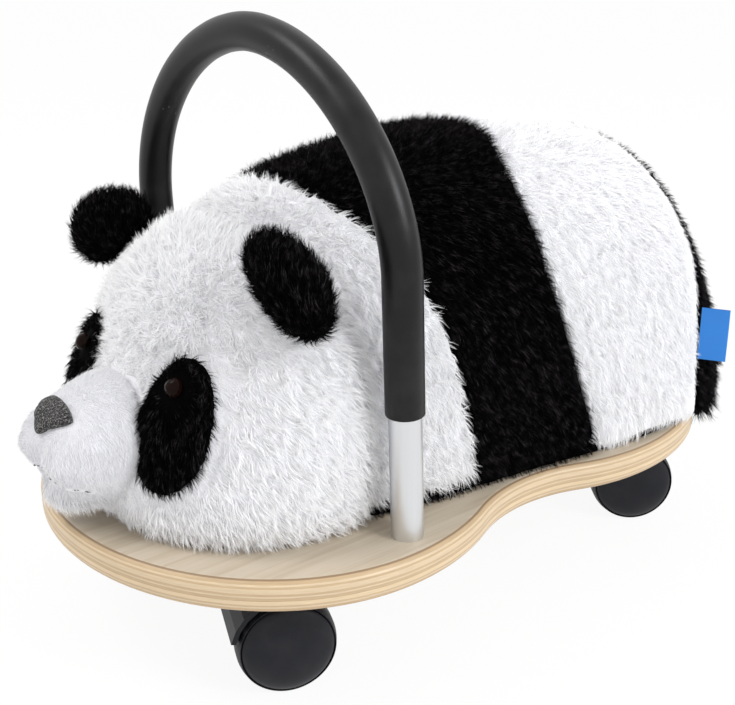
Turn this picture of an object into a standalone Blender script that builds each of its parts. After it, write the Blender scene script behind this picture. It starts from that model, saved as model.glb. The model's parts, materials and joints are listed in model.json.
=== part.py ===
"""A plush ride-on animal on a plywood board with four twin-wheel casters and a bent tube handle.

Metres, +Z up. The animal looks along -Y, +X is its left side, and the origin is on the floor
below the middle of the whole object.
"""

import math

import bmesh
import bpy
from mathutils import Matrix, Vector

# Clearances
touch_gap = 0.0003
soft_gap = 0.0006
turning_gap = 0.0004
overrun = 0.004
weld_distance = 0.00002

# Shading: edges sharper than these angles stay sharp
hard_smooth_angle = math.radians(32)
tube_smooth_angle = math.radians(40)
fur_smooth_angle = math.radians(60)

# Board, measured from the middle of its front lobe
board_thickness = 0.017
board_edge_radius = 0.005
board_edge_segments = 2
board_edge_angle = math.radians(60)
front_lobe_radius = 0.1303
front_lobe_length = 0.1167
rear_lobe_radius = 0.1213
rear_lobe_length = 0.1310
lobe_spacing = 0.1759
waist_radius = 0.095
lobe_arc_points = 13
waist_arc_points = 8

# Casters
caster_height = 0.066
wheel_radius = 0.0255
wheel_width = 0.0135
wheel_chamfer = 0.0015
wheel_shoulder_width = 0.0045
wheel_shoulder_drop = 0.0024
wheel_sides = 24
wheel_bore_radius = 0.0029
cap_radius = 0.0223
cap_seat_depth = 0.0015
cap_dome = 0.0055
cap_rings = 3
axle_radius = 0.0025
axle_end_clearance = 0.0008
web_width = 0.011
web_clearance = 0.0007
web_disc_radius = 0.0165
web_arc_start = math.radians(198)
web_arc_end = math.radians(342)
hood_thickness = 0.0025
hood_clearance = 0.0009
hood_width = 0.037
hood_sweep = math.radians(118)
hood_points = 9
caster_trail = 0.017
swivel_barrel_radius = 0.009
swivel_barrel_height = 0.0150
kingpin_radius = 0.004
kingpin_length = 0.018
kingpin_flange_radius = 0.0085
kingpin_flange_thickness = 0.0014
plate_side = 0.038
plate_thickness = 0.0025
plate_corner_segments = 2
plate_screw_spacing = 0.028
small_sides = 12

# Where each caster swivels, from the side edge and the end of its lobe, and its axle at rest
front_caster_inset = 0.0713
front_caster_end_inset = 0.0662
rear_caster_inset = 0.0723
rear_caster_end_inset = 0.0780
front_left_axle_angle = math.radians(-23)
front_right_axle_angle = math.radians(14)
rear_left_axle_angle = math.radians(-37)
rear_right_axle_angle = math.radians(-20)

# Screws
screw_radius = 0.0019
screw_head_radius = 0.0037
screw_head_height = 0.0019
screw_crown_share = 0.8
caster_screw_length = 0.0145
body_screw_length = 0.0215
screw_sides = 8

# Handle
tube_radius = 0.008
tube_wall = 0.0014
sleeve_radius = 0.0095
handle_leg_inset = 0.0184
handle_behind_front_lobe = 0.0094
handle_leg_height = 0.1294
handle_arch_height = 0.1004
arch_exponent = 1.88
handle_lean = math.radians(2.03)
arch_points = 20
tube_resolution = 4
bore_resolution = 2
bore_sides = 4 + 2 * bore_resolution
sleeve_bottom_height = 0.0638
handle_socket_depth = 0.010
insert_length = 0.022
handle_bolt_radius = 0.003
handle_bolt_head_radius = 0.0052
handle_bolt_head_height = 0.0042
handle_bolt_reach = 0.016
handle_bolt_flange_radius = 0.0085
handle_bolt_flange_thickness = 0.0014

# Body: a stuffed loaf on a base panel
base_panel_thickness = 0.0055
base_panel_inset = 0.0015
base_panel_points = 13
body_length = 0.347
body_side_inset = 0.0143
body_height = 0.1660
body_front_ahead = 0.0406
body_widest_height = 0.058
body_side_exponent = 2.25
body_base_inset = 0.0015
foot_turn = 1.45
ring_points = 27
rear_pole_height = 0.026
rear_sag_exponent = 3.4
end_exponent = 0.85
end_low_exponent = 0.67
neck_pole_height = 0.068
neck_ring_count = 5
neck_end_rings = 3
body_ring_count = 5
core_front = 0.062
core_length = 0.205
core_width = 0.124
core_height = 0.102
core_edge_radius = 0.022
core_edge_segments = 3
body_screw_x = 0.052
body_screw_first = 0.100
body_screw_spacing = 0.110

# Share of the body's length, of its half width and of its height, front to back
body_station_shares = [
    (0.03, 0.45, 0.68),
    (0.08, 0.68, 0.83),
    (0.13, 0.79, 0.885),
    (0.20, 0.84, 0.925),
    (0.33, 0.88, 0.975),
    (0.45, 0.92, 1.000),
    (0.57, 0.975, 0.995),
    (0.67, 1.000, 0.980),
    (0.76, 0.990, 0.945),
    (0.84, 0.925, 0.900),
    (0.92, 0.825, 0.850),
]

# Seams, as distances behind the body's front end
front_seam_top = 0.0545
front_seam_side_shift = 0.020
front_seam_base_shift = 0.036
band_seam_side = 0.1535
band_crest = 0.041
band_crest_x_share = -0.12
band_crest_spread_share = 0.50
band_foot_shift = 0.037
band_foot_share = 0.65
band_foot_exponent = 1.2
rear_seam_top = 0.268
rear_seam_side_shift = 0.030
rear_seam_base_shift = 0.036
rear_seam_exponent = 1.9
seam_middle_share = 0.25

# Head
head_side_inset = 0.0300
head_height = 0.1415
head_front_reach = 0.0830
head_back_reach = 0.0555
head_middle_ahead = 0.0156
head_plan_exponent = 2.1
head_ring_points = 28

# Share of the head's height, half width, front reach and back reach, bottom to top
head_station_shares = [
    (0.00, 0.93, 0.97, 0.94),
    (0.07, 0.985, 1.02, 0.98),
    (0.22, 1.010, 1.01, 1.00),
    (0.40, 1.020, 0.89, 1.00),
    (0.56, 1.000, 0.735, 0.95),
    (0.70, 0.94, 0.62, 0.85),
    (0.82, 0.82, 0.49, 0.72),
    (0.91, 0.65, 0.35, 0.58),
    (0.97, 0.42, 0.20, 0.42),
]

# Face
muzzle_half_width = 0.0390
muzzle_half_depth = 0.041
muzzle_half_height = 0.0335
muzzle_middle_height = 0.0400
muzzle_middle_ahead = 0.0825
cheek_bulge = 0.0110
cheek_x = 0.0205
cheek_height = 0.0400
cheek_spread = 0.0150
muzzle_points = 24
muzzle_rings = 12
nose_half_width = 0.0140
nose_half_height = 0.0092
nose_thickness = 0.0028
nose_height = 0.0580
nose_corner_share = 0.13
nose_lift_share = 0.1
nose_points = 18
stitch_radius = 0.0006
mouth_height = 0.0315
mouth_half_width = 0.029
mouth_rise = 0.006
stitch_points = 17
patch_half_width = 0.0205
patch_half_height = 0.0335
patch_thickness = 0.0035
patch_x = 0.0500
patch_height = 0.0600
patch_tilt = math.radians(10)
patch_swell_share = 0.10
patch_swell_angle = math.radians(50)
patch_points = 20
eye_radius = 0.0049
eye_dome = 0.0042
eye_rings = 4
eye_shank_radius = 0.0016
eye_shank_length = 0.009
eye_x = 0.0450
eye_height = 0.0755
right_eye_drop = 0.0030
ear_half_width = 0.0288
ear_half_height = 0.0194
ear_half_thickness = 0.0120
ear_segments = 16
ear_rings = 10
left_ear_side_inset = 0.0133
left_ear_height = 0.1275
left_ear_ahead = 0.0366
left_ear_lean = math.radians(34)
left_ear_turn = math.radians(0)
right_ear_side_inset = 0.0103
right_ear_height = 0.1215
right_ear_ahead = 0.0400
right_ear_lean = math.radians(-30)
right_ear_turn = math.radians(14)

# Side tag
tag_width = 0.0145
tag_height = 0.031
tag_thickness = 0.0012
tag_middle_height = 0.0545
tag_heading = math.radians(24)
tag_corner_segments = 2


def muzzle_offset(turn, lift, grow=0.0):
    """A point of the muzzle from its middle. Turn goes round from the front, lift from bottom to top."""
    across = math.sin(turn) * math.cos(lift)
    ahead = math.cos(turn) * math.cos(lift)
    cheek_side = abs(across) * muzzle_half_width - cheek_x
    cheek_rise = math.sin(lift) * muzzle_half_height + muzzle_middle_height - cheek_height
    bulge = cheek_bulge * math.exp(-((math.hypot(cheek_side, cheek_rise) / cheek_spread) ** 2))
    return Vector((
        across * (muzzle_half_width + grow),
        -ahead * (muzzle_half_depth + grow) - bulge * max(math.cos(turn), 0),
        math.sin(lift) * (muzzle_half_height + grow),
    ))


def muzzle_grid():
    """The turns and the lifts at which the muzzle has points."""
    turns = [2 * math.pi * i / muzzle_points for i in range(muzzle_points)]
    return turns, [-math.pi / 2 + math.pi * k / muzzle_rings for k in range(1, muzzle_rings)]


def muzzle_reach():
    turns, lifts = muzzle_grid()
    return max(-muzzle_offset(turn, lift).y for turn in turns for lift in lifts)


# Places that follow from the sizes above
board_bottom = caster_height
board_top = board_bottom + board_thickness
wheel_centre_height = wheel_radius * math.cos(math.pi / wheel_sides)
body_base = board_top + 2 * touch_gap + base_panel_thickness
body_tip_behind_front_lobe = body_length - body_front_ahead
front_reach = muzzle_middle_ahead + muzzle_reach()
rear_reach = body_tip_behind_front_lobe
front_lobe_y = (front_reach - rear_reach) / 2
rear_lobe_y = front_lobe_y + lobe_spacing
front_caster_x = front_lobe_radius - front_caster_inset
rear_caster_x = rear_lobe_radius - rear_caster_inset
handle_leg_spacing = 2 * (front_lobe_radius - handle_leg_inset)
body_half_width = front_lobe_radius - body_side_inset
head_half_width = front_lobe_radius - head_side_inset
left_ear_x = head_half_width - left_ear_side_inset
right_ear_x = right_ear_side_inset - head_half_width
body_front_y = front_lobe_y - body_front_ahead
handle_y = front_lobe_y + handle_behind_front_lobe
head_y = front_lobe_y - head_middle_ahead
muzzle_y = front_lobe_y - muzzle_middle_ahead
wheel_inner_x = web_width / 2 + web_clearance


def clear_scene():
    for item in list(bpy.data.objects):
        bpy.data.objects.remove(item, do_unlink=True)


def new_collection(name):
    collection = bpy.data.collections.new(name)
    bpy.context.scene.collection.children.link(collection)
    return collection


clear_scene()
parts = new_collection("plush_ride_on_animal")
cutters = new_collection("cutters")


def material(name, colour, roughness, metallic=0.0):
    surface = bpy.data.materials.new(name)
    surface.use_nodes = True
    shader = surface.node_tree.nodes["Principled BSDF"]
    shader.inputs["Base Color"].default_value = (*colour, 1.0)
    shader.inputs["Roughness"].default_value = roughness
    shader.inputs["Metallic"].default_value = metallic
    surface.diffuse_color = (*colour, 1.0)
    return surface


def birch(name):
    return material(name, (0.78, 0.63, 0.40), 0.45)


def steel(name):
    return material(name, (0.62, 0.62, 0.63), 0.30, 1.0)


def grip_foam(name):
    return material(name, (0.035, 0.035, 0.040), 0.60)


def caster_plastic(name):
    return material(name, (0.022, 0.026, 0.036), 0.38)


def white_plush(name):
    return material(name, (0.86, 0.86, 0.90), 0.95)


def black_plush(name):
    return material(name, (0.018, 0.015, 0.020), 0.92)


def dark_cloth(name):
    return material(name, (0.07, 0.07, 0.075), 0.85)


def eye_gloss(name):
    return material(name, (0.018, 0.010, 0.007), 0.08)


def blue_ribbon(name):
    return material(name, (0.03, 0.25, 0.62), 0.60)


def core_foam(name):
    return material(name, (0.80, 0.76, 0.60), 0.90)


def add_object(name, mesh, collection, surface=None):
    item = bpy.data.objects.new(name, mesh)
    collection.objects.link(item)
    if surface:
        mesh.materials.append(surface(name))
    return item


def smooth_round_parts(mesh, angle=hard_smooth_angle):
    mesh.shade_smooth()
    mesh.set_sharp_from_angle(angle=angle)


def hide_cutter(item):
    item.hide_render = True
    item.display_type = "WIRE"
    return item


def cut(item, *tools):
    """Each tool is taken out of the item."""
    for tool in tools:
        boolean = item.modifiers.new("cut by " + tool.name, "BOOLEAN")
        boolean.operation = "DIFFERENCE"
        boolean.object = tool


def join(item, *others):
    """Each of the others becomes one body with the item."""
    for other in others:
        boolean = item.modifiers.new("joined with " + other.name, "BOOLEAN")
        boolean.operation = "UNION"
        boolean.object = other


def mesh_from(name, build):
    """A mesh that the function build fills through a bmesh."""
    shape = bmesh.new()
    build(shape)
    bmesh.ops.recalc_face_normals(shape, faces=shape.faces)
    if shape.calc_volume(signed=True) < 0:
        bmesh.ops.reverse_faces(shape, faces=shape.faces)
    mesh = bpy.data.meshes.new(name)
    shape.to_mesh(mesh)
    shape.free()
    return mesh


def edges_along(shape, axis):
    """The edges of a block that run along an axis."""
    return [
        edge for edge in shape.edges
        if abs(getattr(edge.verts[0].co, axis) - getattr(edge.verts[1].co, axis)) > weld_distance
    ]


def loft(shape, rings, first_pole=None, last_pole=None):
    """Joins rings of equally many points. An end without a pole is closed flat."""
    loops = [[shape.verts.new(point) for point in ring] for ring in rings]
    count = len(loops[0])
    for lower, upper in zip(loops, loops[1:]):
        for i in range(count):
            j = (i + 1) % count
            shape.faces.new((lower[i], lower[j], upper[j], upper[i]))
    for loop, pole in ((loops[0], first_pole), (loops[-1], last_pole)):
        if pole is None:
            shape.faces.new(loop)
            continue
        tip = shape.verts.new(pole)
        for i in range(count):
            shape.faces.new((loop[i], loop[(i + 1) % count], tip))


def turned(shape, profile, sides, matrix=None, phase=0.0, bored=False):
    """A profile of (radius, height) pairs spun about local Z. A bored one is a closed loop."""
    before = set(shape.verts)
    side = Vector((math.cos(phase), math.sin(phase), 0))
    points = [shape.verts.new(side * radius + Vector((0, 0, height))) for radius, height in profile]
    edges = [shape.edges.new(pair) for pair in zip(points, points[1:])]
    if bored:
        edges.append(shape.edges.new((points[-1], points[0])))
    bmesh.ops.spin(
        shape, geom=points + edges, axis=(0, 0, 1), cent=(0, 0, 0), angle=2 * math.pi, steps=sides,
        use_merge=True,
    )
    new = [vert for vert in shape.verts if vert not in before]
    bmesh.ops.remove_doubles(shape, verts=new, dist=weld_distance)
    if matrix:
        new = [vert for vert in shape.verts if vert not in before]
        bmesh.ops.transform(shape, matrix=matrix, verts=new)


def cylinder(shape, radius, low, high, sides, matrix=None):
    """A cylinder along local Z between two heights."""
    middle = Matrix.Translation((0, 0, (low + high) / 2))
    bmesh.ops.create_cone(
        shape, cap_ends=True, segments=sides, radius1=radius, radius2=radius, depth=high - low,
        matrix=(matrix or Matrix()) @ middle,
    )


def cylinder_cutter(name, radius, low, high, frames, sides=small_sides):
    """Cylinders in the given frames, as one cutter."""

    def build(shape):
        for frame in frames:
            cylinder(shape, radius, low, high, sides, frame)

    return hide_cutter(add_object(name, mesh_from(name, build), cutters))


def upright(places):
    return [Matrix.Translation((x, y, 0)) for x, y in places]


def smooth_value(stations, share, column):
    """Reads a column of a station table at a share, on a smooth curve through the stations."""
    keys = [row[0] for row in stations]
    values = [row[column] for row in stations]
    if share <= keys[0]:
        return values[0]
    if share >= keys[-1]:
        return values[-1]
    i = max(k for k in range(len(keys) - 1) if keys[k] <= share)
    low, high = max(i - 1, 0), min(i + 2, len(keys) - 1)
    span = keys[i + 1] - keys[i]
    start_slope = (values[i + 1] - values[low]) / (keys[i + 1] - keys[low]) * span
    end_slope = (values[high] - values[i]) / (keys[high] - keys[i]) * span
    t = (share - keys[i]) / span
    bend = (2 * t**3 - 3 * t**2 + 1) * values[i] + (t**3 - 2 * t**2 + t) * start_slope
    return bend + (3 * t**2 - 2 * t**3) * values[i + 1] + (t**3 - t**2) * end_slope


def signed_power(value, exponent):
    return math.copysign(abs(value) ** exponent, value)


# Board

def waist_centre():
    """The middle of the concave waist arc, which touches both lobes."""
    to_front = front_lobe_radius + waist_radius
    to_rear = rear_lobe_radius + waist_radius
    behind_front = (to_front**2 - to_rear**2 + lobe_spacing**2) / (2 * lobe_spacing)
    return math.sqrt(to_front**2 - behind_front**2), front_lobe_y + behind_front


def board_outline():
    """The left half of the board's outline, from the front tip to the rear tip, then mirrored."""
    centre_x, centre_y = waist_centre()
    front_turn = math.atan2(centre_y - front_lobe_y, centre_x)
    rear_turn = math.atan2(rear_lobe_y - centre_y, centre_x)
    half = []
    for i in range(lobe_arc_points):
        angle = -math.pi / 2 + (math.pi / 2 + front_turn) * i / (lobe_arc_points - 1)
        reach = front_lobe_length if angle < 0 else front_lobe_radius
        half.append((front_lobe_radius * math.cos(angle), front_lobe_y + reach * math.sin(angle)))
    for i in range(1, waist_arc_points):
        angle = math.pi + front_turn - (front_turn + rear_turn) * i / waist_arc_points
        half.append((centre_x + waist_radius * math.cos(angle), centre_y + waist_radius * math.sin(angle)))
    for i in range(lobe_arc_points):
        angle = -rear_turn + (math.pi / 2 + rear_turn) * i / (lobe_arc_points - 1)
        reach = rear_lobe_length if angle > 0 else rear_lobe_radius
        half.append((rear_lobe_radius * math.cos(angle), rear_lobe_y + reach * math.sin(angle)))
    return half + [(-x, y) for x, y in reversed(half[1:-1])]


def flat_plate(name, outline, low, high, collection, surface=None, frame=None):
    """A plate between two heights of its frame, from a filled 2D curve made a mesh."""
    curve = bpy.data.curves.new(name, "CURVE")
    curve.dimensions = "2D"
    curve.fill_mode = "BOTH"
    curve.extrude = (high - low) / 2
    spline = curve.splines.new("POLY")
    spline.points.add(len(outline) - 1)
    for point, (x, y) in zip(spline.points, outline):
        point.co = (x, y, 0, 1)
    spline.use_cyclic_u = True
    guide = add_object(name + "_outline", curve, cutters)
    guide.matrix_world = (frame or Matrix()) @ Matrix.Translation((0, 0, (low + high) / 2))
    return mesh_from_curve(name, guide, collection, surface)


def mesh_from_curve(name, guide, collection, surface=None):
    """Makes a curve object a mesh object with its caps welded, and removes the curve."""
    bpy.context.view_layer.update()
    graph = bpy.context.evaluated_depsgraph_get()
    mesh = bpy.data.meshes.new_from_object(guide.evaluated_get(graph))
    shape = bmesh.new()
    shape.from_mesh(mesh)
    bmesh.ops.remove_doubles(shape, verts=shape.verts, dist=weld_distance)
    bmesh.ops.recalc_face_normals(shape, faces=shape.faces)
    shape.to_mesh(mesh)
    shape.free()
    mesh.materials.clear()
    item = add_object(name, mesh, collection, surface)
    item.matrix_world = guide.matrix_world
    bpy.data.objects.remove(guide, do_unlink=True)
    return item


def caster_places():
    """Name, swivel place and axle angle of each caster."""
    front_y = front_lobe_y - front_lobe_length + front_caster_end_inset
    rear_y = rear_lobe_y + rear_lobe_length - rear_caster_end_inset
    return [
        ("front_left", front_caster_x, front_y, front_left_axle_angle),
        ("front_right", -front_caster_x, front_y, front_right_axle_angle),
        ("rear_left", rear_caster_x, rear_y, rear_left_axle_angle),
        ("rear_right", -rear_caster_x, rear_y, rear_right_axle_angle),
    ]


def plate_screw_places():
    half = plate_screw_spacing / 2
    return [
        (x + dx, y + dy)
        for _, x, y, _ in caster_places()
        for dx in (-half, half)
        for dy in (-half, half)
    ]


def body_screw_places():
    """Two rows of screws below the body's core, between the front and the rear casters."""
    first = body_front_y + body_screw_first
    rows = (("left", body_screw_x), ("right", -body_screw_x))
    ends = ("front", "rear")
    return [
        (end + "_" + side, x, first + body_screw_spacing * i)
        for side, x in rows
        for i, end in enumerate(ends)
    ]


def places_of_body_screws():
    return [(x, y) for _, x, y in body_screw_places()]


def handle_frame():
    """The handle leans towards the head about the line where its legs meet the board."""
    return Matrix.Translation((0, handle_y, board_top)) @ Matrix.Rotation(handle_lean, 4, "X")


def upright_at_leg(side):
    return handle_frame() @ Matrix.Translation((side * handle_leg_spacing / 2, 0, 0))


def build_board():
    board = flat_plate("base_board", board_outline(), board_bottom, board_top, parts, birch)
    bevel = board.modifiers.new("rounded edges", "BEVEL")
    bevel.width = board_edge_radius
    bevel.segments = board_edge_segments
    bevel.limit_method = "ANGLE"
    bevel.angle_limit = board_edge_angle
    legs = [upright_at_leg(side) for side in (-1, 1)]
    socket_radius = tube_radius + turning_gap
    sockets = cylinder_cutter("handle_sockets", socket_radius, -handle_socket_depth, overrun, legs)
    bolt_holes = cylinder_cutter(
        "handle_bolt_holes", handle_bolt_radius + turning_gap, -board_thickness - overrun, 0, legs
    )
    plate_depth = caster_screw_length - plate_thickness + touch_gap
    plate_holes = cylinder_cutter(
        "plate_screw_holes", screw_radius + touch_gap, board_bottom - overrun,
        board_bottom + plate_depth, upright(plate_screw_places()), screw_sides,
    )
    body_holes = cylinder_cutter(
        "body_screw_holes", screw_radius + touch_gap, board_bottom - overrun,
        board_top + overrun, upright(places_of_body_screws()), screw_sides,
    )
    cut(board, sockets, bolt_holes, plate_holes, body_holes)
    smooth_round_parts(board.data)


# Casters

def screw(shape, x, y, seat, length, sink=0.0):
    """A pan-head screw that points up from its seat. Sink carries its head on into what it is one with."""
    profile = [
        (0, seat - screw_head_height),
        (screw_head_radius * screw_crown_share, seat - screw_head_height),
        (screw_head_radius, seat - screw_head_height / 2),
        (screw_head_radius, seat + sink),
        (screw_radius, seat + sink),
        (screw_radius, seat + length),
        (0, seat + length),
    ]
    turned(shape, profile, screw_sides, Matrix.Translation((x, y, 0)))


def build_plate(corner, x, y):
    """The fixed plate, in one piece with the four screws that are driven home through it."""
    name = corner + "_caster_plate"

    def build(shape):
        bmesh.ops.create_cube(shape, size=1.0)
        bmesh.ops.scale(shape, vec=(plate_side, plate_side, plate_thickness), verts=shape.verts)
        bmesh.ops.bevel(
            shape, geom=edges_along(shape, "z"), offset=screw_head_radius, segments=plate_corner_segments,
            affect="EDGES", profile=0.5, material=-1,
        )

    plate = add_object(name, mesh_from(name, build), parts, steel)
    plate.location = (x, y, board_bottom - touch_gap - plate_thickness / 2)
    half = plate_screw_spacing / 2

    def screws(shape):
        for dx in (-half, half):
            for dy in (-half, half):
                screw(shape, x + dx, y + dy, seat, caster_screw_length - touch_gap, plate_thickness / 2)

    seat = board_bottom - touch_gap - plate_thickness
    join(plate, hide_cutter(add_object(name + "_screws", mesh_from(name + "_screws", screws), cutters)))
    smooth_round_parts(plate.data)


def build_kingpin(corner, x, y):
    name = corner + "_caster_kingpin"
    top = board_bottom - 2 * touch_gap - plate_thickness
    profile = [
        (0, top - kingpin_length),
        (kingpin_radius, top - kingpin_length),
        (kingpin_radius, top - kingpin_flange_thickness),
        (kingpin_flange_radius, top - kingpin_flange_thickness),
        (kingpin_flange_radius, top),
        (0, top),
    ]
    mesh = mesh_from(name, lambda shape: turned(shape, profile, small_sides))
    smooth_round_parts(mesh)
    add_object(name, mesh, parts, steel).location = (x, y, 0)


def swivel_empty(corner, x, y, angle):
    empty = bpy.data.objects.new(corner + "_swivel_axis", None)
    parts.objects.link(empty)
    empty.location = (x, y, 0)
    empty.rotation_euler = (0, 0, angle)
    return empty


def arc(centre_y, centre_z, radius, start, end, count):
    steps = [start + (end - start) * i / (count - 1) for i in range(count)]
    return [(centre_y + radius * math.cos(a), centre_z + radius * math.sin(a)) for a in steps]


def build_housing(corner, swivel):
    """A web between the wheels, a hood over them and a barrel round the kingpin, as one moulding."""
    name = corner + "_caster_housing"
    inner = wheel_radius + hood_clearance
    outer = inner + hood_thickness
    barrel_top = board_bottom - 3 * touch_gap - plate_thickness - kingpin_flange_thickness
    bore_bottom = barrel_top + kingpin_flange_thickness - kingpin_length - 2 * touch_gap
    middle = math.pi / 2 + math.asin(caster_trail / outer) / 2
    start, end = middle - hood_sweep / 2, middle + hood_sweep / 2
    # Outlines are drawn across the axle, with local X backwards and local Y up
    across = Matrix(((0, 0, 1), (1, 0, 0), (0, 1, 0))).to_4x4()
    wheel_place = (caster_trail, wheel_centre_height)

    def under_swivel(item):
        item.parent = swivel
        return item

    def tool(kind, build):
        return under_swivel(hide_cutter(add_object(name + "_" + kind, mesh_from(kind, build), cutters)))

    web_outline = arc(*wheel_place, (inner + outer) / 2, start, end, hood_points)
    web_outline += arc(*wheel_place, web_disc_radius, web_arc_start, web_arc_end, hood_points)
    housing = under_swivel(flat_plate(
        name, web_outline, -web_width / 2, web_width / 2, parts, caster_plastic, across
    ))
    hood_outline = arc(*wheel_place, outer, start, end, hood_points)
    hood_outline += arc(*wheel_place, inner, end, start, hood_points)
    hood = under_swivel(hide_cutter(flat_plate(
        name + "_hood", hood_outline, -hood_width / 2, hood_width / 2, cutters, None, across
    )))
    barrel_profile = [
        (0, barrel_top - swivel_barrel_height),
        (kingpin_radius + turning_gap * 2, barrel_top - swivel_barrel_height),
        (swivel_barrel_radius, barrel_top - swivel_barrel_height / 2),
        (swivel_barrel_radius, barrel_top),
        (0, barrel_top),
    ]
    barrel = tool("barrel", lambda shape: turned(shape, barrel_profile, small_sides))
    at_wheel = Matrix.Translation((0, *wheel_place))
    for side, kind in ((1, "wheel_room_left"), (-1, "wheel_room_right")):
        turn = at_wheel @ axle_matrix(side)
        cut(barrel, tool(kind, lambda shape: cylinder(
            shape, inner, web_width / 2, hood_width, wheel_sides, turn
        )))
    join(housing, hood, barrel)
    cut(housing, tool("kingpin_bore", lambda shape: cylinder(
        shape, kingpin_radius + turning_gap, bore_bottom, barrel_top + overrun, small_sides
    )))
    cut(housing, tool("axle_hole", lambda shape: cylinder(
        shape, axle_radius + touch_gap, -web_width, web_width, small_sides, at_wheel @ axle_matrix()
    )))
    smooth_round_parts(housing.data)


def axle_matrix(side=1):
    """Local +Z runs along the axle towards that side, from the middle of the web."""
    return Matrix.Rotation(side * math.pi / 2, 4, "Y")


def build_axle(corner, swivel):
    name = corner + "_caster_axle"
    half = wheel_inner_x + wheel_width - cap_seat_depth - axle_end_clearance
    turn = axle_matrix()
    mesh = mesh_from(name, lambda shape: cylinder(shape, axle_radius, -half, half, small_sides, turn))
    smooth_round_parts(mesh)
    axle = add_object(name, mesh, parts, steel)
    axle.parent = swivel
    axle.location = (0, caster_trail, wheel_centre_height)


def build_wheel(corner, which, side, swivel):
    """A wheel with a seat for its cap in the outer face, and the domed cap."""
    seat = wheel_width - cap_seat_depth
    rim = cap_radius + touch_gap
    wheel_profile = [
        (wheel_bore_radius, 0),
        (wheel_radius - wheel_chamfer * 2, 0),
        (wheel_radius, wheel_chamfer),
        (wheel_radius, wheel_width - wheel_shoulder_width),
        (wheel_radius - wheel_shoulder_drop, wheel_width),
        (rim, wheel_width),
        (rim, seat),
        (wheel_bore_radius, seat),
    ]
    cap_profile = [(0, seat + touch_gap), (cap_radius, seat + touch_gap)]
    for i in range(cap_rings):
        turn = math.pi / 2 * i / cap_rings
        cap_profile.append((cap_radius * math.cos(turn), wheel_width + cap_dome * math.sin(turn)))
    cap_profile.append((0, wheel_width + cap_dome))
    lift = axle_matrix(side) @ Matrix.Translation((0, 0, wheel_inner_x))
    half_facet = math.pi / wheel_sides
    name = corner + "_" + which + "_wheel"
    mesh = mesh_from(name, lambda shape: turned(shape, wheel_profile, wheel_sides, lift, half_facet, True))
    smooth_round_parts(mesh)
    wheel = add_object(name, mesh, parts, caster_plastic)
    cap_name = corner + "_" + which + "_wheel_cap"
    cap_mesh = mesh_from(cap_name, lambda shape: turned(shape, cap_profile, wheel_sides, lift, half_facet))
    smooth_round_parts(cap_mesh)
    cap = add_object(cap_name, cap_mesh, parts, caster_plastic)
    for item in (wheel, cap):
        item.parent = swivel
        item.location = (0, caster_trail, wheel_centre_height)


def build_casters():
    for corner, x, y, angle in caster_places():
        build_plate(corner, x, y)
        build_kingpin(corner, x, y)
        swivel = swivel_empty(corner, x, y, angle)
        build_housing(corner, swivel)
        build_axle(corner, swivel)
        outward = 1 if x > 0 else -1
        build_wheel(corner, "outer", outward, swivel)
        build_wheel(corner, "inner", -outward, swivel)


# Handle

def handle_path(low):
    """Points of the handle's centre line in its own frame: a leg, the arch and the other leg."""
    half = handle_leg_spacing / 2
    leg = [(half, low), (half, (low + handle_leg_height) / 2)]
    arch = []
    for i in range(arch_points + 1):
        angle = math.pi * i / arch_points
        x = half * signed_power(math.cos(angle), 2 / arch_exponent)
        z = handle_leg_height + handle_arch_height * math.sin(angle) ** (2 / arch_exponent)
        arch.append((x, z))
    return leg + arch + [(-x, z) for x, z in reversed(leg)]


def tube_along(name, points, radius, collection, surface=None, resolution=tube_resolution):
    curve = bpy.data.curves.new(name, "CURVE")
    curve.dimensions = "3D"
    curve.bevel_depth = radius
    curve.bevel_resolution = resolution
    curve.use_fill_caps = True
    spline = curve.splines.new("POLY")
    spline.points.add(len(points) - 1)
    for point, place in zip(spline.points, points):
        point.co = (*place, 1)
    guide = add_object(name + "_path", curve, cutters)
    return mesh_from_curve(name, guide, collection, surface)


def handle_points(low):
    return [handle_frame() @ Vector((x, 0, z)) for x, z in handle_path(low)]


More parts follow.
